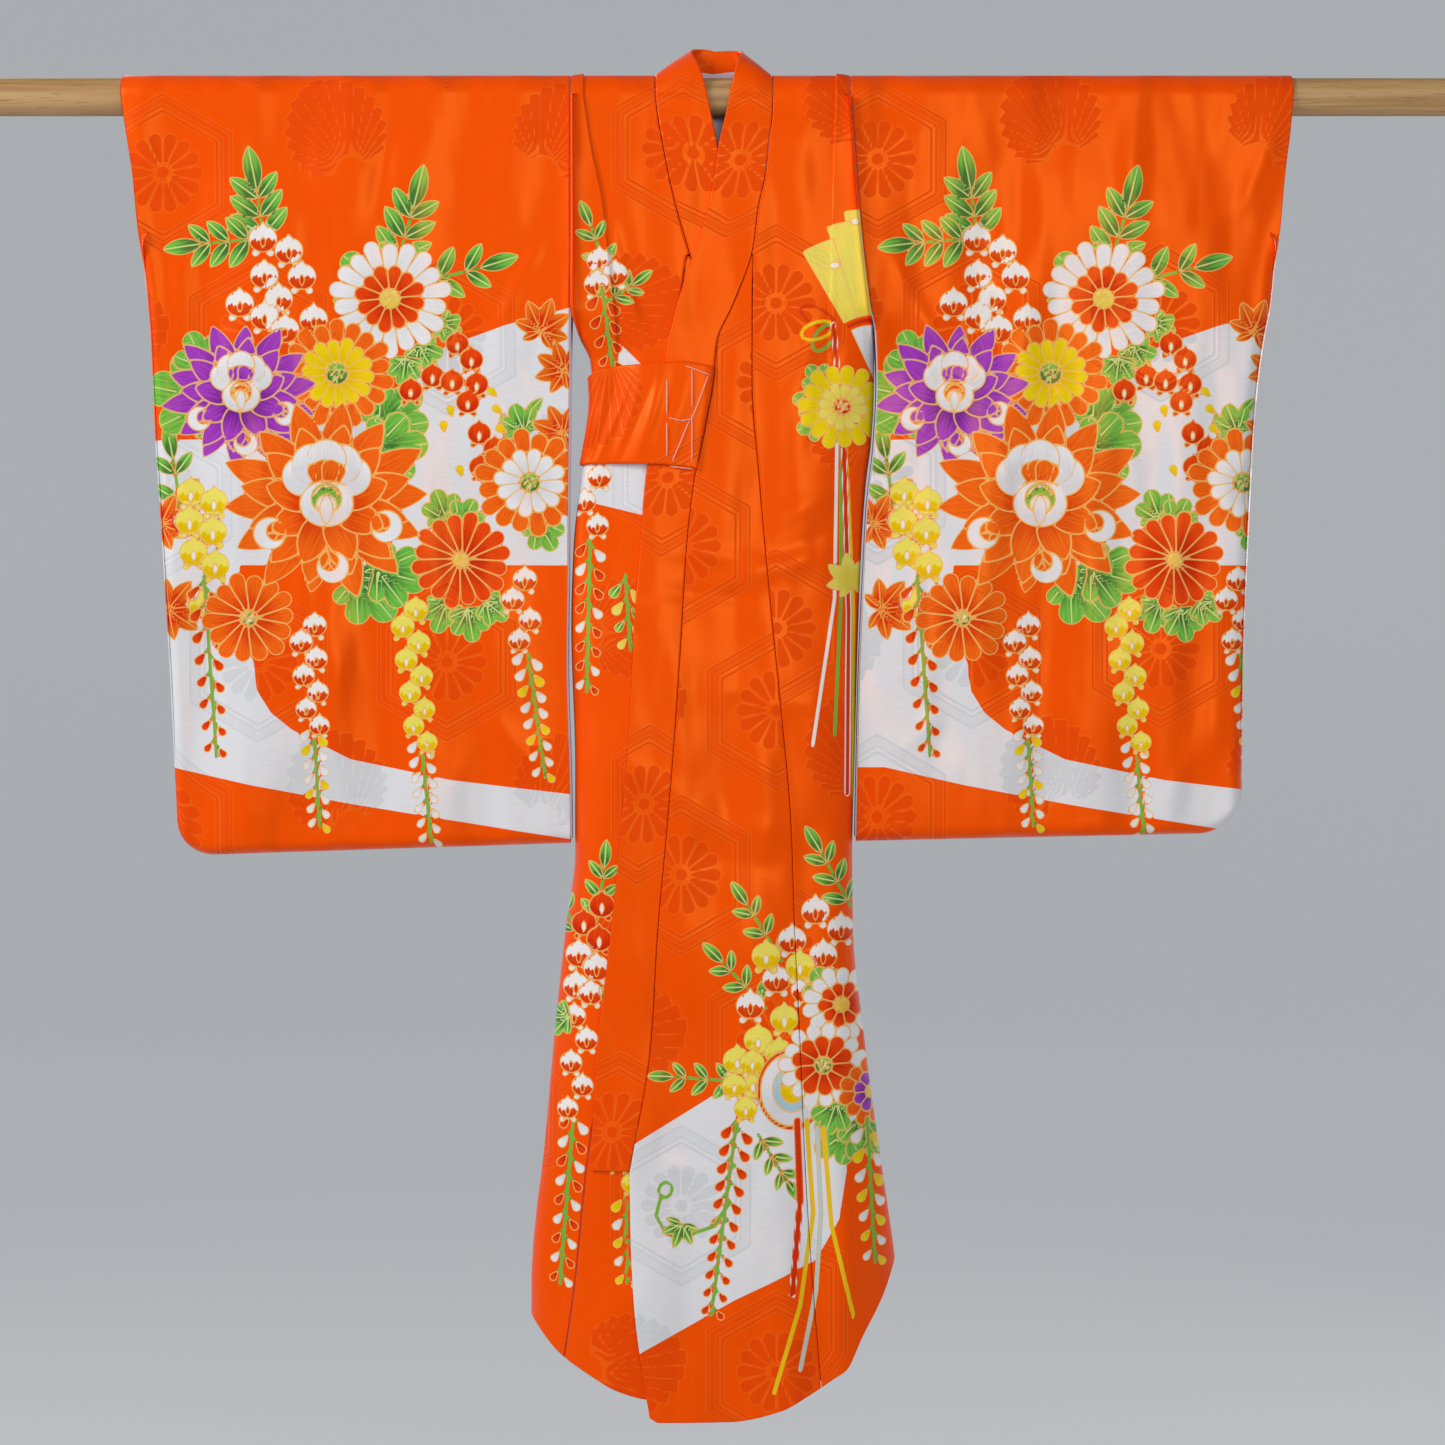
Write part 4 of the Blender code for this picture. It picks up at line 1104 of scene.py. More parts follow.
# %% [markdown]
# The layout of a sleeve
#
# The dyer works over the whole width of the sleeve: an undyed field, then leaves
# and sprays, then the big flowers in front, and clusters that hang over the lower
# sweep. The two sleeves carry the same picture, and the back of each carries it
# again, moved a little. Places are in millimetres from the top of the cuff edge.

# %% A sleeve's drawing
def sleeve_fields(drawing):
    """The undyed field: between a slanting top and a slanting
    foot, less a pool of ground in its lower middle."""
    x, y = drawing["x"], drawing["y"]
    top = np.interp(x, (0, 100, 225, 254, 303, 353), (268, 266, 226, 196, 179, 166))
    low = np.interp(x, (45, 107, 188, 261, 355), (520, 534, 549, 561, 576))
    sweep = np.interp(x, (96, 107, 111, 122, 138, 184, 261, 353), (385, 422, 460, 478, 491, 514, 530, 541))
    pool = np.minimum(np.minimum(y - 364.0, sweep - y), x - 98.0)
    field = np.minimum(np.minimum(y - top, low - y), -pool)
    drawing["panel"] = np.clip(field, -REACH, REACH)


def sleeve_drawing(x, y):
    """The picture on one face of a sleeve."""
    drawing = blank_drawing(x, y)
    sleeve_fields(drawing)
    for root, tip, pairs, length in (
        ((117, 114), (111, 72), 3, 31), ((110, 112), (66, 116), 3, 27), ((219, 132), (233, 86), 3, 31),
        ((244, 144), (286, 134), 2, 28), ((52, 322), (46, 280), 2, 26), ((300, 268), (318, 250), 2, 20),
    ):
        sprig(drawing, root, tip, pairs, length)
    for at, turn, size, dye in (
        ((78, 236), 168, 54, "green_a"), ((74, 214), 118, 34, "green_b"), ((206, 150), 138, 38, "green_a"),
        ((214, 148), 104, 34, "green_b"), ((200, 160), 178, 30, "green_b"), ((205, 260), 48, 46, "green_a"),
        ((200, 276), 8, 44, "green_b"), ((188, 372), 310, 44, "green_a"), ((204, 368), 345, 40, "green_b"),
        ((236, 194), 300, 24, "green_a"), ((226, 204), 262, 22, "green_b"), ((252, 176), 330, 20, "green_a"),
        ((318, 262), 112, 24, "green_a"), ((328, 330), 300, 26, "green_b"), ((258, 330), 110, 26, "green_a"),
        ((268, 334), 62, 24, "green_b"), ((258, 392), 250, 26, "green_a"), ((274, 398), 280, 26, "green_b"),
        ((288, 392), 320, 22, "green_a"), ((120, 262), 350, 30, "green_b"),
    ):
        broad_leaf(drawing, at, turn, size, dye)
    for at, size, turn in (
        ((331, 184), 27, 72), ((349, 214), 25, 150), ((348, 262), 26, 160), ((36, 332), 27, 20),
        ((42, 398), 30, 8),
    ):
        maple_leaf(drawing, at, size, turn)
    for at in ((297, 234), (301, 247), (262, 250), (304, 262), (256, 262), (286, 300), (270, 296)):
        bud(drawing, "yellow_a", at, 200.0 + at[0], 10.0)
    florets_at(drawing, (
        (266, 193), (277, 205), (247, 218), (262, 222), (281, 224), (230, 229), (274, 238), (283, 262),
        (295, 274), (284, 288),
    ), 9.2, "red")
    florets_at(drawing, (
        (116, 112), (136, 121), (117, 140), (146, 141), (128, 158), (98, 162), (117, 172), (155, 174),
        (133, 182),
    ), 11.0, "white")
    florets_at(drawing, (
        (60, 308), (78, 315), (59, 330), (77, 338), (62, 354), (79, 364), (69, 394),
    ), 11.0, "yellow")
    wisteria(drawing, (70, 372), (80, 512), 0, 8, "red", ("red_a", "red_b"))
    wisteria(drawing, (150, 408), (160, 566), 7, 7, "white", ("white_a", "yellow_a", "white_b"))
    wisteria(drawing, (228, 396), (246, 578), 9, 7, "yellow", ("white_a", "white_b"))
    wisteria(drawing, (312, 372), (334, 528), 4, 8, "white", ("white_a", "white_b", "yellow_a"))
    chrysanthemum(drawing, (214, 158), 46, (("white", 18, 1.0), ("red", 12, 0.58)), "pale", 0.17)
    chrysanthemum(drawing, (173, 216), 43, (("orange", 18, 1.0), ("yellow", 14, 0.66)), "green", 0.2)
    chrysanthemum(drawing, (105, 405), 36, (("orange", 14, 1.0),), "green", 0.17, 4.0)
    chrysanthemum(drawing, (269, 360), 38, (("red", 16, 1.0),), "pale", 0.15)
    peony(drawing, "purple", (99, 232), 60, 23, 9.0)
    peony(drawing, "orange", (165, 314), 81, 33)
    chrysanthemum(drawing, (322, 300), 42, (("orange", 16, 1.0), ("white", 12, 0.64)), "green", 0.19)
    return drawing


# %% [markdown]
# The layout of the body
#
# The top front has a folded fan with hanging cords, and a bouquet over an undyed field at the hem.
# The under front shows only at its side, with clusters from the shoulder down. The back isn't seen
# in the photo. It gets the usual layout of such a kimono, a bouquet over an undyed field and sprays
# at the shoulders, with the same motifs. Places are in millimetres from the rod's middle and down.

# %% The body's drawings
def loop_of_cord(at, wide, high, turn):
    """The points of one loop of a tied cord: an ellipse that starts and ends at the knot."""
    angles = np.linspace(0.0, 2.0 * math.pi, 14)
    a, b = wide * (1.0 - np.cos(angles)) / 2.0, high * np.sin(angles) / 2.0
    lean = math.radians(turn)
    return np.stack([at[0] + a * math.cos(lean) - b * math.sin(lean),
                     at[1] - a * math.sin(lean) - b * math.cos(lean)], axis=-1)


def cord(drawing, dye, path, wide):
    """A cord. A red one gets fine pale outlines, because it would be lost on the ground."""
    if dye == "red mark":
        band(drawing, "white mark", path, wide + 2.2)
    band(drawing, dye, path, wide)


def top_front_drawing(x, y):
    """The picture on the left front, which lies on top."""
    drawing = blank_drawing(x, y)
    top = np.interp(x, (-60, 11, 60, 100, 115), (811, 767, 745, 740, 760))
    low = np.interp(x, (-60, -49, 22, 84, 102, 114), (971, 966, 926, 896, 865, 790))
    drawing["panel"] = np.clip(np.minimum(y - top, low - y), -REACH, REACH)
    pivot = (131, 222)
    for dye, turns, near, far in (
        ("pale_a", (74, 101), 50, 132), ("pale_b", (96, 108), 50, 124), ("pale_a", (107, 120), 50, 114),
        ("red mark", (74, 119), 45, 48), ("white_a", (74, 117), 2, 43),
    ):
        fan_fold(drawing, dye, pivot, turns, near, far)
    for at in ((115, 100), (99, 134)):
        disc(drawing, "white mark", at, 3.6, 0.62)
    knot = (98, 180)
    for dye, turn, wide in (("red mark", 152, 28), ("stem", 232, 24), ("gold mark", 198, 26)):
        band(drawing, dye, loop_of_cord(knot, wide, 13, turn), 2.6)
    for dye, path in (
        ("white mark", (knot, (101, 260), (99, 390), (82, 503))),
        ("stem", (knot, (104, 260), (104, 390), (99, 495))),
        ("gold mark", (knot, (108, 270), (114, 400), (114, 545))),
        ("red mark", (knot, (106, 260), (110, 400), (109, 540))),
    ):
        cord(drawing, dye, path, 2.7)
    for at, turn in (((88, 240), 170), ((90, 252), 205), ((92, 228), 130)):
        broad_leaf(drawing, at, turn, 22, "green_a" if turn > 150 else "green_b")
    chrysanthemum(drawing, (105, 242), 34, (("yellow", 15, 1.0), ("pale", 12, 0.56)), "red", 0.2)
    maple_leaf(drawing, (112, 378), 24, 100, "pale_a")
    for root, tip, pairs, length in (
        ((58, 668), (31, 624), 3, 20), ((46, 704), (12, 668), 3, 20), ((24, 760), (-26, 756), 3, 19),
        ((112, 628), (88, 584), 3, 22), ((40, 800), (62, 836), 3, 18),
    ):
        sprig(drawing, root, tip, pairs, length)
    florets_at(drawing, (
        (84, 630), (66, 652), (104, 644), (90, 664), (54, 682), (76, 690), (34, 702),
    ), 11.0, "white")
    florets_at(drawing, (
        (46, 664), (72, 672), (60, 712), (40, 728), (24, 744), (56, 738), (36, 762),
    ), 11.0, "yellow")
    wisteria(drawing, (30, 742), (4, 938), 3, 11, "yellow", ("red_a", "red_b"))
    for at, radius, dye in (((66, 766), 27, "red_a"), ((66, 766), 24, "white_a"), ((66, 766), 15, "blue"),
                            ((66, 766), 9, "yellow_a")):
        disc(drawing, dye, at, radius, 1.15)
    for at, turn, size, dye in (
        ((112, 796), 215, 34, "green_a"), ((118, 790), 300, 36, "green_b"), ((100, 776), 250, 26, "green_a"),
        ((98, 700), 120, 30, "green_b"),
    ):
        broad_leaf(drawing, at, turn, size, dye)
    for dye, path in (
        ("red mark", ((70, 790), (72, 850), (66, 922))),
        ("gold mark", ((77, 790), (82, 860), (72, 930), (52, 996))),
        ("blue", ((85, 796), (88, 860), (84, 920), (72, 979))),
        ("gold mark", ((90, 796), (96, 870), (113, 940))),
    ):
        cord(drawing, dye, path, 3.3)
    chrysanthemum(drawing, (104, 702), 30, (("white", 14, 1.0), ("red", 9, 0.6)), "yellow", 0.2)
    chrysanthemum(drawing, (90, 748), 34, (("white", 15, 1.0), ("red", 10, 0.72)), "green", 0.2)
    chrysanthemum(drawing, (128, 770), 26, (("orange", 12, 1.0), ("purple", 8, 0.6)), "yellow", 0.2)
    wisteria(drawing, (124, 790), (130, 900), 0, 7, "white", ("white_a", "yellow_a"))
    band(drawing, "stem", ((-34, 846), (-38, 862), (-30, 876), (-18, 878), (6, 870), (18, 852)), 2.8)
    band(drawing, "stem", loop_of_cord((-33, 848), 12, 10, 70), 2.6)
    vine_lobes = ((0, 1.0), (45, 0.9), (-45, 0.9), (90, 0.7), (-90, 0.7))
    lobed(drawing, "green_a", (-18, 868), 250, 20, vine_lobes, 0.4, True)
    return drawing


def under_front_drawing(x, y):
    """The picture on the right front, of which a strip shows beside the top front."""
    drawing = blank_drawing(x, y)
    block = np.minimum(np.minimum(y - 286.0, 338.0 + 0.25 * x - y), -44.0 - x)
    corner = np.minimum(np.minimum(x + 67.8, 213.0 - y), y - 191.7 - (x + 67.8))
    drawing["panel"] = np.clip(np.maximum(block, corner), -REACH, REACH)
    sprig(drawing, (-76, 138), (-89, 102), 2, 20)
    sprig(drawing, (-74, 160), (-56, 148), 2, 18)
    florets_at(drawing, ((-82, 130), (-70, 140), (-84, 148)), 10.0, "white")
    wisteria(drawing, (-80, 150), (-72, 212), 0, 4, "white", ("red_a", "red_b"))
    wisteria(drawing, (-88, 292), (-92, 462), 3, 8, "white", ("red_a", "white_a", "red_b"))
    wisteria(drawing, (-62, 372), (-58, 430), 0, 4, "white", ("green_a", "pale_a"))
    sprig(drawing, (-84, 640), (-78, 596), 3, 20)
    sprig(drawing, (-98, 650), (-112, 622), 2, 18)
    florets_at(drawing, ((-80, 626), (-94, 640), (-82, 652)), 10.0, "red")
    florets_at(drawing, ((-98, 664), (-84, 674), (-100, 688)), 10.5, "white")
    wisteria(drawing, (-94, 690), (-112, 916), 6, 9, "white", ("red_a", "white_a", "red_b", "white_b"))
    wisteria(drawing, (-62, 800), (-60, 916), 3, 5, "yellow", ("yellow_a", "white_a"))
    for at, turn, size in (((-106, 712), 190, 22), ((-78, 700), 20, 20)):
        broad_leaf(drawing, at, turn, size)
    return drawing


def back_drawing(x, y):
    """The picture on the back, over both halves of the body."""
    drawing = blank_drawing(x, y)
    top = 640.0 + 30.0 * np.sin((x + 60.0) / 70.0)
    low = np.interp(x, (-136, -60, 20, 90, 146), (838, 856, 880, 902, 888))
    drawing["panel"] = np.clip(np.minimum(y - top, low - y), -REACH, REACH)
    for root, tip, pairs, length in (
        ((-40, 120), (-66, 70), 3, 24), ((62, 128), (88, 76), 3, 24), ((20, 150), (-8, 118), 2, 20),
        ((-20, 640), (-44, 574), 4, 26), ((40, 640), (58, 566), 4, 26), ((92, 690), (122, 636), 3, 24),
        ((-92, 700), (-112, 650), 3, 22),
    ):
        sprig(drawing, root, tip, pairs, length)
    for at, turn, size, dye in (
        ((-50, 700), 150, 40, "green_a"), ((-30, 790), 220, 42, "green_b"), ((72, 790), 320, 42, "green_a"),
        ((96, 720), 40, 38, "green_b"), ((10, 640), 100, 36, "green_a"), ((-60, 160), 200, 30, "green_a"),
        ((70, 170), 320, 30, "green_b"),
    ):
        broad_leaf(drawing, at, turn, size, dye)
    florets_at(drawing, ((-52, 118), (-38, 134), (-58, 138), (58, 126), (74, 140), (54, 146)), 11.0, "white")
    for index, at in enumerate(((-70, 655), (-54, 668), (-74, 680), (76, 648), (90, 664), (70, 672))):
        floret(drawing, at, 11.0, "red" if index < 3 else "yellow", index)
    wisteria(drawing, (-54, 150), (-60, 262), 4, 5, "white", ("white_a", "red_a"))
    wisteria(drawing, (78, 158), (72, 290), 5, 6, "yellow", ("white_a", "yellow_a"))
    wisteria(drawing, (-84, 780), (-92, 928), 6, 6, "white", ("white_a", "red_a"))
    wisteria(drawing, (-2, 800), (-6, 944), 5, 7, "yellow", ("white_a", "yellow_a"))
    wisteria(drawing, (98, 790), (92, 916), 4, 6, "white", ("white_a", "red_a"))
    for at, size, turn in (((-104, 770), 26, 60), ((124, 760), 26, 120), ((44, 842), 24, 280)):
        maple_leaf(drawing, at, size, turn)
    chrysanthemum(drawing, (16, 160), 32, (("white", 16, 1.0), ("red", 11, 0.58)), "pale", 0.17)
    chrysanthemum(drawing, (-62, 742), 38, (("white", 17, 1.0), ("red", 12, 0.58)), "pale", 0.17)
    chrysanthemum(drawing, (92, 754), 38, (("orange", 16, 1.0), ("yellow", 12, 0.64)), "green", 0.2)
    chrysanthemum(drawing, (-8, 822), 32, (("red", 15, 1.0),), "pale", 0.16)
    peony(drawing, "purple", (-14, 678), 48, 19, 9.0)
    peony(drawing, "orange", (38, 744), 64, 26)
    return drawing


# The woven figure in millimetres: the step of its plan, and its hexagons, chrysanthemums and wings.
PLAN_WIDE, PLAN_HIGH = 146.0, 126.0
MOTIF_REACH = 84.0
HEXAGON = 54.0
PETALS, PETAL_ROOT, PETAL_LENGTH = 14, 9.0, 17.0
FEATHER_STEP, FEATHERS_BESIDE = 0.155, 8.4
WING_ROOT, WING_REACH, WING_SHORTENS = 13.0, 78.0, 34.0


def damask_fields(drawing, x, y, start):
    """The woven figure: turtle-shell hexagons on a staggered plan, each with
    a chrysanthemum in it, and cranes' wings between them. A hexagon's value
    is the distance inside its edge. A petal's or a feather's is positive."""
    hexagon = np.full(x.shape, -12.0)
    woven = np.full(x.shape, -6.0)
    sheet = {"x": x - start[0], "y": y - start[1]}
    columns = range(int(sheet["x"].min() // PLAN_WIDE) - 1, int(sheet["x"].max() // PLAN_WIDE) + 2)
    lines = range(int(sheet["y"].min() // PLAN_HIGH) - 1, int(sheet["y"].max() // PLAN_HIGH) + 2)
    for line in lines:
        for column in columns:
            at = (PLAN_WIDE * (column + 0.5 * (line % 2)), PLAN_HIGH * line)
            u, v = sheet["x"] - at[0], sheet["y"] - at[1]
            near = (np.abs(u) < MOTIF_REACH) & (np.abs(v) < MOTIF_REACH)
            u, v = u[near], v[near]
            radius, turn = np.hypot(u, v), np.arctan2(v, u)
            if (column + 2 * line) % 4 < 2:
                inside = HEXAGON - np.maximum(np.abs(u), np.abs(u) * 0.5 + np.abs(v) * 0.866)
                hexagon[near] = np.maximum(hexagon[near], inside)
                step = 2.0 * math.pi / PETALS
                off = (turn + step / 2.0) % step - step / 2.0
                along, across = radius * np.cos(off), radius * np.sin(off)
                share = np.clip((along - PETAL_ROOT) / PETAL_LENGTH, 0.0, 1.0)
                off = np.hypot(along - PETAL_ROOT - PETAL_LENGTH * share, across)
                figure = 1.3 + 3.4 * share - off
                figure = np.maximum(figure, 4.6 - radius)
            else:
                lean = (turn + 1.2 + 0.9 * (column % 3)) % (2.0 * math.pi) - math.pi
                feather = np.round(lean / FEATHER_STEP)
                off = lean - feather * FEATHER_STEP
                along, across = radius * np.cos(off), np.abs(radius * np.sin(off))
                reach = WING_REACH - WING_SHORTENS * np.abs(feather * FEATHER_STEP) ** 1.4
                ends = np.minimum(along - WING_ROOT, reach - along)
                figure = np.minimum(along * 0.0776 - across - 0.55, ends)
                figure = np.minimum(figure, (FEATHERS_BESIDE - np.abs(feather)) * 4.0)
            woven[near] = np.maximum(woven[near], figure)
    drawing["hexagon"] = hexagon
    drawing["woven"] = woven
    return drawing


print("layouts: sleeve, top front, under front and back")

# %% [markdown]
# Materials
#
# The cloth is silk satin damask: long floats of silk lie side by side and shine, and the woven
# figure turns them the other way and looks deeper and duller. That deeper tone is painted into
# the colour as painted shade, with a painted highlight at the figure's edge. The weft shows as very
# fine ribs across the cloth. The dyes soak in, so they change the colour and not the shine. Each
# material reads the sheet's own map or its attributes, so the pattern follows the cloth over every fold.

# %% Colours and nodes
def colour_of(code):
    """An sRGB hex code as linear red, green, blue and alpha."""
    parts = np.array([int(code[i:i + 2], 16) for i in (1, 3, 5)]) / 255.0
    linear = np.where(parts <= 0.04045, parts / 12.92, ((parts + 0.055) / 1.055) ** 2.4)
    return (*linear.tolist(), 1.0)


def node(tree, kind, links=None, **settings):
    """Add a node, give it its settings and link its inputs. A linked value is an output, any other is set."""
    made = tree.nodes.new(kind)
    for key, value in settings.items():
        setattr(made, key, value)
    for key, value in (links or {}).items():
        if isinstance(value, bpy.types.NodeSocket):
            tree.links.new(value, made.inputs[key])
        else:
            made.inputs[key].default_value = value
    return made


def new_material(name):
    """An empty material with its shader and its output."""
    made = bpy.data.materials.new(name)
    made.use_nodes = True
    tree = made.node_tree
    tree.nodes.clear()
    shader = node(tree, "ShaderNodeBsdfPrincipled")
    node(tree, "ShaderNodeOutputMaterial", {"Surface": shader.outputs["BSDF"]})
    return made, tree, shader


def maths(tree, operation, *values):
    """The output of one sum, product or comparison."""
    links = {index: value for index, value in enumerate(values)}
    return node(tree, "ShaderNodeMath", links, operation=operation).outputs[0]


def blend(tree, factor, first, second):
    """Two colours mixed by a factor."""
    return node(tree, "ShaderNodeMix", {0: factor, 6: first, 7: second}, data_type="RGBA").outputs[2]


def ramp(tree, value, low, high, to_low=0.0, to_high=1.0):
    """A value eased from one range to another."""
    links = {"Value": value, "From Min": low, "From Max": high, "To Min": to_low, "To Max": to_high}
    return node(tree, "ShaderNodeMapRange", links, interpolation_type="SMOOTHSTEP").outputs["Result"]


# %% [markdown]
# Silk satin damask, woven, then resist-dyed
#
# What the eye sees is an even deep orange with a soft sheen, a tone-on-tone figure
# whose darker tone is painted shade and whose lighter edge is a painted highlight, dyes with
# a pale paste line at each petal's edge, and strokes that fade along a petal. A weft rib of
# 0.4 mm can't show in the render, so it is drawn at 1.8 mm.

# %% The printed satin
# The figure is woven in the same silk as the ground, so its darker orange is painted shade for its duller
# sheen.
GROUND, FIGURE_PAINTED_SHADE = "#FF5000", "#E43000"
DYE_COLOURS = {
    "panel": ("#E6E9ED", "#E6E9ED"), "blue": ("#B9DAE4", "#A9CFDC"), "white": ("#F1F2F4", "#DDE1E6"),
    "pale": ("#F1E56C", "#E8D548"), "yellow": ("#F5DC12", "#EBC400"), "orange": ("#FF6A14", "#DE3606"),
    "red": ("#F5420C", "#D21C04"), "purple": ("#A93AC8", "#6C0C92"), "green": ("#72CC4C", "#1B7C38"),
    "maple": ("#F4711A", "#DE2C04"), "stem": ("#7CC24A", "#4FA03A"), "red mark": ("#DC2E0C", "#DC2E0C"),
    "white mark": ("#F3F3EE", "#F3F3EE"), "gold mark": ("#F2C81C", "#F2C81C"),
}
PASTE = "#F5C56E"
# A woven hexagon, from its edge inwards: a band 7 mm wide between two lines, and a finer line inside it.
BAND_MIDDLE, BAND_HALF, BAND_EDGE_HALF = 5.0, 3.6, 0.8
INNER_LINE, INNER_LINE_HALF = 12.5, 0.9


def satin(name, printed=True):
    """The satin's material, with or without the dyes on it."""
    made, tree, shader = new_material(name)
    sheet = node(tree, "ShaderNodeUVMap", uv_map="cloth").outputs["UV"]

    def value_of(attribute):
        return node(tree, "ShaderNodeAttribute", attribute_name=attribute).outputs["Fac"]

    hexagon, woven = value_of("hexagon"), value_of("woven")
    off_band = maths(tree, "ABSOLUTE", maths(tree, "SUBTRACT", hexagon, BAND_MIDDLE))
    band_inside = maths(tree, "SUBTRACT", BAND_HALF, off_band)
    off_line = maths(tree, "ABSOLUTE", maths(tree, "SUBTRACT", hexagon, INNER_LINE))
    line_inside = maths(tree, "SUBTRACT", INNER_LINE_HALF, off_line)
    edge_inside = maths(tree, "SUBTRACT", BAND_EDGE_HALF, maths(tree, "ABSOLUTE", band_inside))
    shape = maths(tree, "MAXIMUM", maths(tree, "MAXIMUM", edge_inside, line_inside), woven)
    band_fill = maths(tree, "MULTIPLY", ramp(tree, band_inside, -0.3, 0.3), 0.45)
    figure = maths(tree, "MAXIMUM", ramp(tree, shape, -0.3, 0.3), band_fill)
    # Painted highlight: a lighter orange line just outside the woven figure's edge.
    painted_rim_highlight = ramp(tree, maths(tree, "ABSOLUTE", maths(tree, "ADD", shape, 0.35)), 0.75, 0.3)
    # Painted shade: the woven figure is mixed towards a darker orange, standing in for its duller sheen.
    colour = blend(tree, maths(tree, "MULTIPLY", figure, 0.42), colour_of(GROUND), colour_of(FIGURE_PAINTED_SHADE))
    colour = blend(tree, maths(tree, "MULTIPLY", painted_rim_highlight, 0.26), colour, colour_of("#FF7A24"))

    if printed:
        along, across = value_of("along"), value_of("across")
        strokes = node(tree, "ShaderNodeCombineXYZ", {"X": maths(tree, "MULTIPLY", across, 0.55), "Y": along})
        hairs = node(tree, "ShaderNodeTexNoise", {"Vector": strokes.outputs[0], "Scale": 1.3, "Detail": 1.0})
        stroke = ramp(tree, hairs.outputs["Fac"], 0.42, 0.62)
        depth = maths(tree, "ADD", ramp(tree, along, 0.75, 0.15), maths(tree, "MULTIPLY", stroke, 0.45))
        depth = maths(tree, "MINIMUM", depth, 1.0)
        top = None
        for dye in DYES:
            inside = value_of(dye)
            light, deep = DYE_COLOURS[dye.split("_")[0]]
            tint = blend(tree, depth, colour_of(light), colour_of(deep))
            colour = blend(tree, ramp(tree, inside, -0.25, 0.25), colour, tint)
            if dye != "panel" and dye not in BARE_DYES:
                top = inside if top is None else maths(tree, "MAXIMUM", top, inside)
            if dye.startswith("green") or dye == "maple":
                rib = ramp(tree, maths(tree, "ABSOLUTE", across), 0.75, 0.35)
                rib = maths(tree, "MULTIPLY", rib, ramp(tree, inside, 0.4, 1.2))
                colour = blend(tree, rib, colour, colour_of("#D3E38A" if dye != "maple" else "#F6A650"))
        jag = node(tree, "ShaderNodeTexNoise", {"Vector": strokes.outputs[0], "Scale": 0.9, "Detail": 0.0})
        brush = maths(tree, "ADD", value_of("brushed"), maths(tree, "MULTIPLY", jag.outputs["Fac"], 9.0))
        brush = ramp(tree, brush, 3.9, 4.9)
        yellow = ramp(tree, maths(tree, "MAXIMUM", value_of("yellow_a"), value_of("yellow_b")), -0.2, 0.2)
        brush_colour = blend(tree, yellow, colour_of("#F4F3F1"), colour_of("#F3E966"))
        colour = blend(tree, maths(tree, "MULTIPLY", brush, ramp(tree, top, 0.2, 0.8)), colour, brush_colour)
        line = maths(tree, "MULTIPLY", ramp(tree, top, -0.3, 0.0), ramp(tree, top, 0.85, 0.4))
        colour = blend(tree, maths(tree, "MULTIPLY", line, 0.82), colour, colour_of(PASTE))
        # Painted shade: on the undyed field the woven figure is tinted grey, standing in for its duller
        # sheen.
        white_field = ramp(tree, value_of("panel"), -0.2, 0.2)
        figure_shade_on_field = maths(tree, "MULTIPLY", figure, white_field)
        colour = blend(tree, maths(tree, "MULTIPLY", figure_shade_on_field, 0.8), colour, colour_of("#D3DADF"))

    waves = node(tree, "ShaderNodeTexWave", {"Vector": sheet, "Scale": 175.0}, bands_direction="Y")
    ribs = waves.outputs["Fac"]
    slubs = node(tree, "ShaderNodeMapping", {"Vector": sheet, "Scale": (60.0, 900.0, 1.0)})
    slub = node(tree, "ShaderNodeTexNoise", {"Vector": slubs.outputs[0], "Scale": 1.0, "Detail": 1.0})
    shade = maths(tree, "MULTIPLY", ramp(tree, slub.outputs["Fac"], 0.35, 0.75), 0.12)
    colour = node(tree, "ShaderNodeMix", {0: shade, 6: colour, 7: colour_of("#E2C6B8")}, data_type="RGBA",
                  blend_type="MULTIPLY").outputs[2]
    place = node(tree, "ShaderNodeTexCoord").outputs["Object"]
    hanging = node(tree, "ShaderNodeMapping", {"Vector": place, "Scale": (34.0, 34.0, 13.0)})
    crinkle = node(tree, "ShaderNodeTexNoise", {"Vector": hanging.outputs[0], "Scale": 0.5, "Detail": 1.5})
    height = maths(tree, "ADD", maths(tree, "MULTIPLY", ribs, 0.10), maths(tree, "MULTIPLY", figure, 0.35))
    weave = node(tree, "ShaderNodeBump", {"Height": height, "Strength": 0.35, "Distance": 0.0004})
    soft = node(tree, "ShaderNodeBump", {"Height": crinkle.outputs["Fac"], "Strength": 0.8, "Distance": 0.020,
                                         "Normal": weave.outputs[0]})
    links = {
        shader.inputs["Base Color"]: colour,
        shader.inputs["Roughness"]: ramp(tree, figure, 0.0, 1.0, 0.33, 0.50),
        shader.inputs["Normal"]: soft.outputs[0],
    }
    for socket, output in links.items():
        tree.links.new(output, socket)
    shader.inputs["Specular IOR Level"].default_value = 0.85
    shader.inputs["Specular Tint"].default_value = colour_of("#FF9838")
    print(name, "has", len(tree.nodes), "nodes")
    return made


def plain_silk():
    """Plain-woven lining silk, undyed but for a breath of lilac: smooth, pale and a little glossy."""
    made, tree, shader = new_material("plain_woven_lining_silk")
    sheet = node(tree, "ShaderNodeUVMap", uv_map="cloth").outputs["UV"]
    threads = node(tree, "ShaderNodeTexWave", {"Vector": sheet, "Scale": 160.0}, bands_direction="Y")
    height = threads.outputs["Fac"]
    bump = node(tree, "ShaderNodeBump", {"Height": height, "Strength": 0.15, "Distance": 0.0003})
    tree.links.new(bump.outputs[0], shader.inputs["Normal"])
    shader.inputs["Base Color"].default_value = colour_of("#D9D0DE")
    shader.inputs["Roughness"].default_value = 0.42
    return made


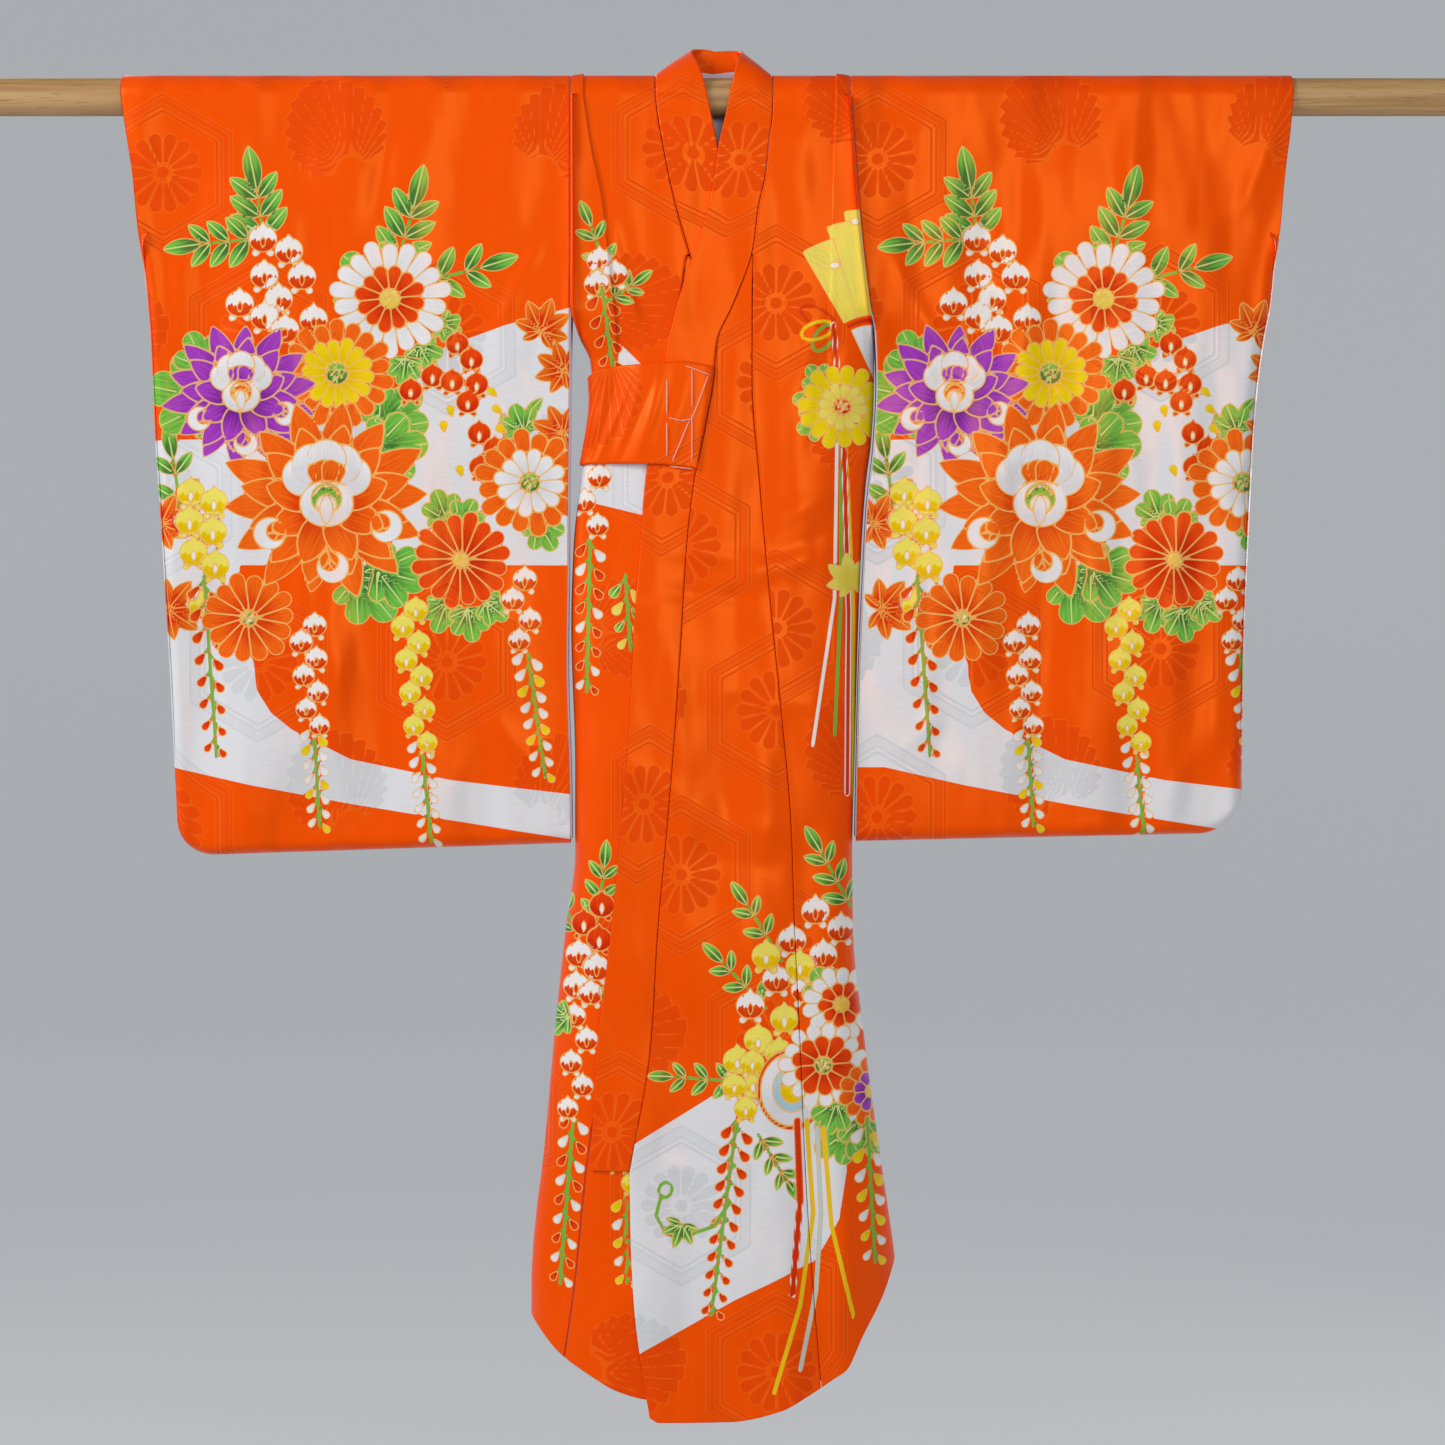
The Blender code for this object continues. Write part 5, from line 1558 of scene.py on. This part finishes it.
def turned_beech():
    """A turned beech pole, unvarnished: pale tan, with fine dark flecks and streaks along the grain."""
    made, tree, shader = new_material("turned_beech")
    place = node(tree, "ShaderNodeTexCoord").outputs["Object"]
    stretched = node(tree, "ShaderNodeMapping", {"Vector": place, "Scale": (5.0, 150.0, 150.0)})
    grain = node(tree, "ShaderNodeTexNoise", {"Vector": stretched.outputs[0], "Scale": 1.0, "Detail": 5.0})
    flecks = node(tree, "ShaderNodeMapping", {"Vector": place, "Scale": (45.0, 900.0, 900.0)})
    fleck = node(tree, "ShaderNodeTexNoise", {"Vector": flecks.outputs[0], "Scale": 1.0, "Detail": 1.0})
    light = ramp(tree, grain.outputs["Fac"], 0.3, 0.7)
    colour = blend(tree, light, colour_of("#A87C4A"), colour_of("#C9A06A"))
    dark = ramp(tree, fleck.outputs["Fac"], 0.62, 0.72, 0.0, 0.55)
    colour = blend(tree, dark, colour, colour_of("#7E5630"))
    bump = node(tree, "ShaderNodeBump", {"Height": grain.outputs["Fac"], "Strength": 0.2, "Distance": 0.0006})
    tree.links.new(colour, shader.inputs["Base Color"])
    tree.links.new(bump.outputs[0], shader.inputs["Normal"])
    shader.inputs["Roughness"].default_value = 0.5
    return made


printed_satin = satin("resist_dyed_silk_satin")
plain_satin = satin("woven_silk_satin", printed=False)
lining_silk = plain_silk()
beech = turned_beech()

# %% [markdown]
# Putting the pieces together
#
# Every piece takes its grid, its drawing and its finish. The drawing of a face uses the places
# where its points hang, so a flower that crosses a seam meets itself on the next piece. The
# back of a sleeve reads its places mirrored, so that it looks the same way round from behind.

# %% Sleeves
def two_faces(points, fronts, draw_front, draw_back, place):
    """The drawings of the front rows and of the back rows of one grid, joined."""
    x, y = points[..., 0], -points[..., 2]
    front = draw_front(*place(x[:fronts], y[:fronts], False))
    back = draw_back(*place(x[fronts:], y[fronts:], True))
    return {key: np.concatenate([front[key], back[key]]) for key in front}


def run_of(points):
    """How far along the cloth each row lies, from the mean step between rows."""
    steps = np.linalg.norm(np.diff(points, axis=0), axis=-1).mean(axis=1)
    return np.broadcast_to(np.concatenate([[0.0], np.cumsum(steps)])[:, None], points.shape[:2])


made = {}
for side in ("right", "left"):
    points, fronts = sleeve_grids[side]
    shift = 458.2 if side == "right" else -93.1

    def on_sleeve(x, y, behind, shift=shift):
        return (SHEET_WIDE + 6.0 - (x + shift), y - 14.0) if behind else (x + shift, y)

    values = two_faces(points, fronts, sleeve_drawing, sleeve_drawing, on_sleeve)
    damask_fields(values, points[..., 0] + shift, run_of(points), (112.0, 152.0))
    name = "sleeve_" + side
    made[name] = cloth_piece(name, points, (60, 80), printed_satin, values, depths=(6.0, 6.0, 7.0, 7.0))

# %% Body, overlaps, collar and tie
for side in ("right", "left"):
    points, fronts = body_grids[side]
    draw = top_front_drawing if side == "left" else under_front_drawing
    values = two_faces(points, fronts, draw, back_drawing, lambda x, y, behind: (x, y))
    damask_fields(values, points[..., 0], run_of(points), (54.0, 40.0))
    made["body_" + side] = cloth_piece("body_" + side, points, (250, 20), printed_satin, values)
    points = overlap_grids[side]
    values = draw(points[..., 0], -points[..., 2])
    damask_fields(values, points[..., 0], HEM_DROP + points[..., 2], (54.0, 40.0))
    made["overlap_" + side] = cloth_piece("overlap_" + side, points, (100, 20), printed_satin, values)

values = {"x": run_of(collar_double.swapaxes(0, 1)).T}
damask_fields(values, values["x"], run_of(collar_double), (20.0, 30.0))
made["collar"] = cloth_piece(
    "collar", collar_double, FRONT_OF_COLLAR, plain_satin, values, 1.4, (8.0, 8.0, 6.0, 1.0)
)
values = {"x": tie_points[..., 0]}
damask_fields(values, tie_points[..., 0], -tie_points[..., 2], (-513.0, 200.0))
made["tie"] = cloth_piece(
    "tie", tie_points, (20, 18), plain_satin, values, 2.2, (8.0, 8.0, 12.0, 12.0)
)

# %% Linings
for name, points in linings.items():
    on_front = points.shape[0] // (4 if "sleeve" in name else 2)
    sign = outward_normals(points, (on_front, 4))[1]
    facing = sign if name in ("back_lining", "neck_lining") else -sign
    made[name] = grid_mesh("inner_" + name, points, facing, lining_silk)
print("pieces:", sorted(made))

# %% [markdown]
# Stitches
#
# Two rows of long pale pink stitches cross on the tie where it is sewn to the front. Each is a
# thin thread that lies on the cloth, so it is a small tube whose two ends dip into the surface.

# %% Stitches on the tie
def on_tie(x, drop):
    """Points on the tie's outer face at places across and down."""
    x, drop = np.asarray(x, float), np.asarray(drop, float)
    front = tie_points[:TIE_ROWS].reshape(-1, 3)
    off = np.hypot(front[None, :, 0] - x[:, None], -front[None, :, 2] - drop[:, None])
    near = front[off.argmin(axis=1)]
    return np.stack([x, near[:, 1], -drop], axis=-1)


def thread(name, lines, radius, finish):
    """Tubes along straight stitches: a ring of six points at each of nine places, sunk at both ends."""
    places, corners = 9, 6
    shares = np.linspace(0.0, 1.0, places)
    turns = np.radians(np.arange(corners) * 360.0 / corners)
    vertices, faces = [], []
    for line in lines:
        x = line[0] + (line[2] - line[0]) * shares
        drop = line[1] + (line[3] - line[1]) * shares
        path = on_tie(x, drop)
        path[:, 1] -= 1.0 - 1.6 * np.abs(2.0 * shares - 1.0) ** 6
        way = unit(np.gradient(path, axis=0))
        aside = unit(np.cross(way, [0.0, 1.0, 0.0]))
        over = np.cross(aside, way)
        ring = aside[:, None] * np.cos(turns)[:, None] + over[:, None] * np.sin(turns)[:, None]
        index = (len(vertices) * places * corners + np.arange(places * corners)).reshape(places, corners)
        nexts = np.roll(index, -1, axis=1)
        quads = np.stack([index[:-1], nexts[:-1], nexts[1:], index[1:]], axis=-1).reshape(-1, 4)
        vertices.append((path[:, None] + radius * ring).reshape(-1, 3))
        faces.extend(quads.tolist())
        faces.append(index[0][::-1].tolist())
        faces.append(index[-1].tolist())
    mesh = bpy.data.meshes.new(name)
    mesh.from_pydata((np.concatenate(vertices) * MM).tolist(), [], faces)
    mesh.shade_smooth()
    mesh.materials.append(finish)
    piece = bpy.data.objects.new(name, mesh)
    bpy.context.scene.collection.objects.link(piece)
    return piece


pink_thread, tree, shader = new_material("twisted_silk_thread")
shader.inputs["Base Color"].default_value = colour_of("#F3B9A8")
shader.inputs["Roughness"].default_value = 0.45
STITCHES = (
    (-30.0, 222.0, -30.0, 250.0), (-30.0, 254.0, -30.0, 282.0), (-10.8, 214.0, -10.8, 244.0),
    (-10.8, 248.0, -10.8, 286.0), (-28.5, 251.8, -19.3, 254.1), (-19.3, 254.1, -10.8, 252.6),
    (-10.8, 252.6, 2.0, 218.7), (-15.4, 211.8, 3.5, 219.0), (-27.0, 289.0, -10.0, 291.0),
    (-26.2, 286.0, -12.0, 252.0),
)
stitches = thread("tie_stitches", STITCHES, 0.42, pink_thread)
print("stitches:", len(STITCHES))

# %% [markdown]
# Putting every piece on the one body
#
# Nothing on a kimono moves by a joint, so every piece rides on the one
# body. Each sheet states the size that it was cut to: a sleeve is one bolt
# width, folded at the shoulder, and a body half runs from hem to hem.

# %% Bodies and sizes
CUTS = {
    "sleeve_right": ((0.365, 1.215), ["rod", "body_right"]),
    "sleeve_left": ((0.365, 1.215), ["rod", "body_left"]),
    "body_right": ((0.125, 2.060), ["rod", "sleeve_right"]),
    "body_left": ((0.125, 2.060), ["rod", "sleeve_left"]),
    "overlap_right": ((0.125, 0.905), ["body_right", "collar"]),
    "overlap_left": ((0.125, 0.905), ["body_left", "collar"]),
    "collar": ((0.085, 1.800), ["body_right", "body_left"]),
    "tie": ((0.095, 0.320), ["collar", "body_right"]),
    "sleeve_lining_right": ((0.355, 1.200), ["sleeve_right"]),
    "sleeve_lining_left": ((0.355, 1.200), ["sleeve_left"]),
    "back_lining": ((0.300, 1.000), ["body_right", "body_left"]),
    "front_lining_right": ((0.155, 0.860), ["body_right", "overlap_right"]),
    "front_lining_left": ((0.068, 0.860), ["body_left", "overlap_left"]),
    "neck_lining": ((0.012, 0.090), ["collar"]),
}
for name, (flat, rests_on) in CUTS.items():
    piece = made[name]
    area = sum(face.area for face in piece.data.polygons)
    print(name, "hangs with", round(area, 4), "square metres of a flat", round(flat[0] * flat[1], 4))
    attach(piece, "root")
    if name.startswith(("front_lining", "neck_lining")):
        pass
    else:
        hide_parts(name)
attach(stitches, "root")
rod = bpy.data.objects["rod"]
rod.data.materials.clear()
rod.data.materials.append(beech)

# %% [markdown]
# Studio and camera
#
# The photo was taken from straight in front with a long lens, so the kimono fills the square frame
# and nothing converges. A pale floor runs up into a wall all round it, so every view has a plain
# backdrop. Its paper glows a little of itself, which keeps it pale without stronger lamps. Soft
# lights from both sides let the satin shine in broad patches without hard spots. The standard view
# shows each dye as its hex code says. Blender's usual view would pale the strong orange.

# %% Floor, wall, lights and camera
FLOOR_Z, WALL_TOP = -1.45, 6.0
FLOOR_RADIUS, BEND = 6.5, 1.5


def floor_and_wall():
    """A round pale room: a flat floor that bends up into a wall all round, as one profile turned
    about Z. The profile starts just off the axis, so no face is without area."""
    bend = np.radians(np.linspace(0.0, 90.0, 16))
    curve = np.stack([FLOOR_RADIUS + BEND * np.sin(bend), FLOOR_Z + BEND * (1.0 - np.cos(bend))], axis=-1)
    profile = np.concatenate([[(0.0002, FLOOR_Z)], curve, [(FLOOR_RADIUS + BEND, WALL_TOP)]])[:, None]
    turn = np.radians(np.linspace(0.0, 360.0, 73))
    points = np.stack([profile[..., 0] * np.cos(turn), profile[..., 0] * np.sin(turn),
                       profile[..., 1] + 0.0 * turn], axis=-1) / MM
    paper, _, shader = new_material("matt_backdrop_paper")
    shader.inputs["Base Color"].default_value = colour_of("#7A7A78")
    shader.inputs["Roughness"].default_value = 0.9
    shader.inputs["Emission Color"].default_value = colour_of("#E8ECF2")
    shader.inputs["Emission Strength"].default_value = 0.40
    return grid_mesh("studio_floor", points, 1.0, paper)


def soft_light(name, at, aim, size, watts):
    """A square area light at a place, turned to a point."""
    light = bpy.data.lights.new(name, "AREA")
    light.shape = "SQUARE"
    light.size = size
    light.energy = watts
    lamp = bpy.data.objects.new(name, light)
    lamp.location = at
    way = Vector(aim) - Vector(at)
    lamp.rotation_euler = way.to_track_quat("-Z", "Y").to_euler()
    bpy.context.scene.collection.objects.link(lamp)
    return lamp


floor_and_wall()
middle = (0.0, 0.0, -0.45)
soft_light("key", (-2.4, -1.5, 1.0), middle, 1.0, 48.5)
soft_light("fill", (0.5, -3.1, 0.2), middle, 1.0, 20.5)
soft_light("back_left", (-1.8, 1.9, 0.9), middle, 1.6, 26.0)
soft_light("back_right", (1.8, 2.0, 0.4), middle, 1.6, 22.0)
world = bpy.data.worlds.new("studio")
world.use_nodes = True
world.node_tree.nodes["Background"].inputs["Color"].default_value = (0.9, 0.93, 1.0, 1.0)
world.node_tree.nodes["Background"].inputs["Strength"].default_value = 0.20
bpy.context.scene.world = world

SENSOR = 36.0
CLOTH_FRONT = -0.02
FAR_AWAY = 2.4
FIELD_WIDE = 1.1127
lens = bpy.data.cameras.new("camera")
lens.sensor_width = SENSOR
lens.lens = SENSOR * FAR_AWAY / FIELD_WIDE
camera = bpy.data.objects.new("camera", lens)
camera.location = (0.0127, CLOTH_FRONT - FAR_AWAY, -0.4855)
camera.rotation_euler = (math.pi / 2.0, 0.0, 0.0)
bpy.context.scene.collection.objects.link(camera)
bpy.context.scene.camera = camera
bpy.context.scene.view_settings.view_transform = "Standard"
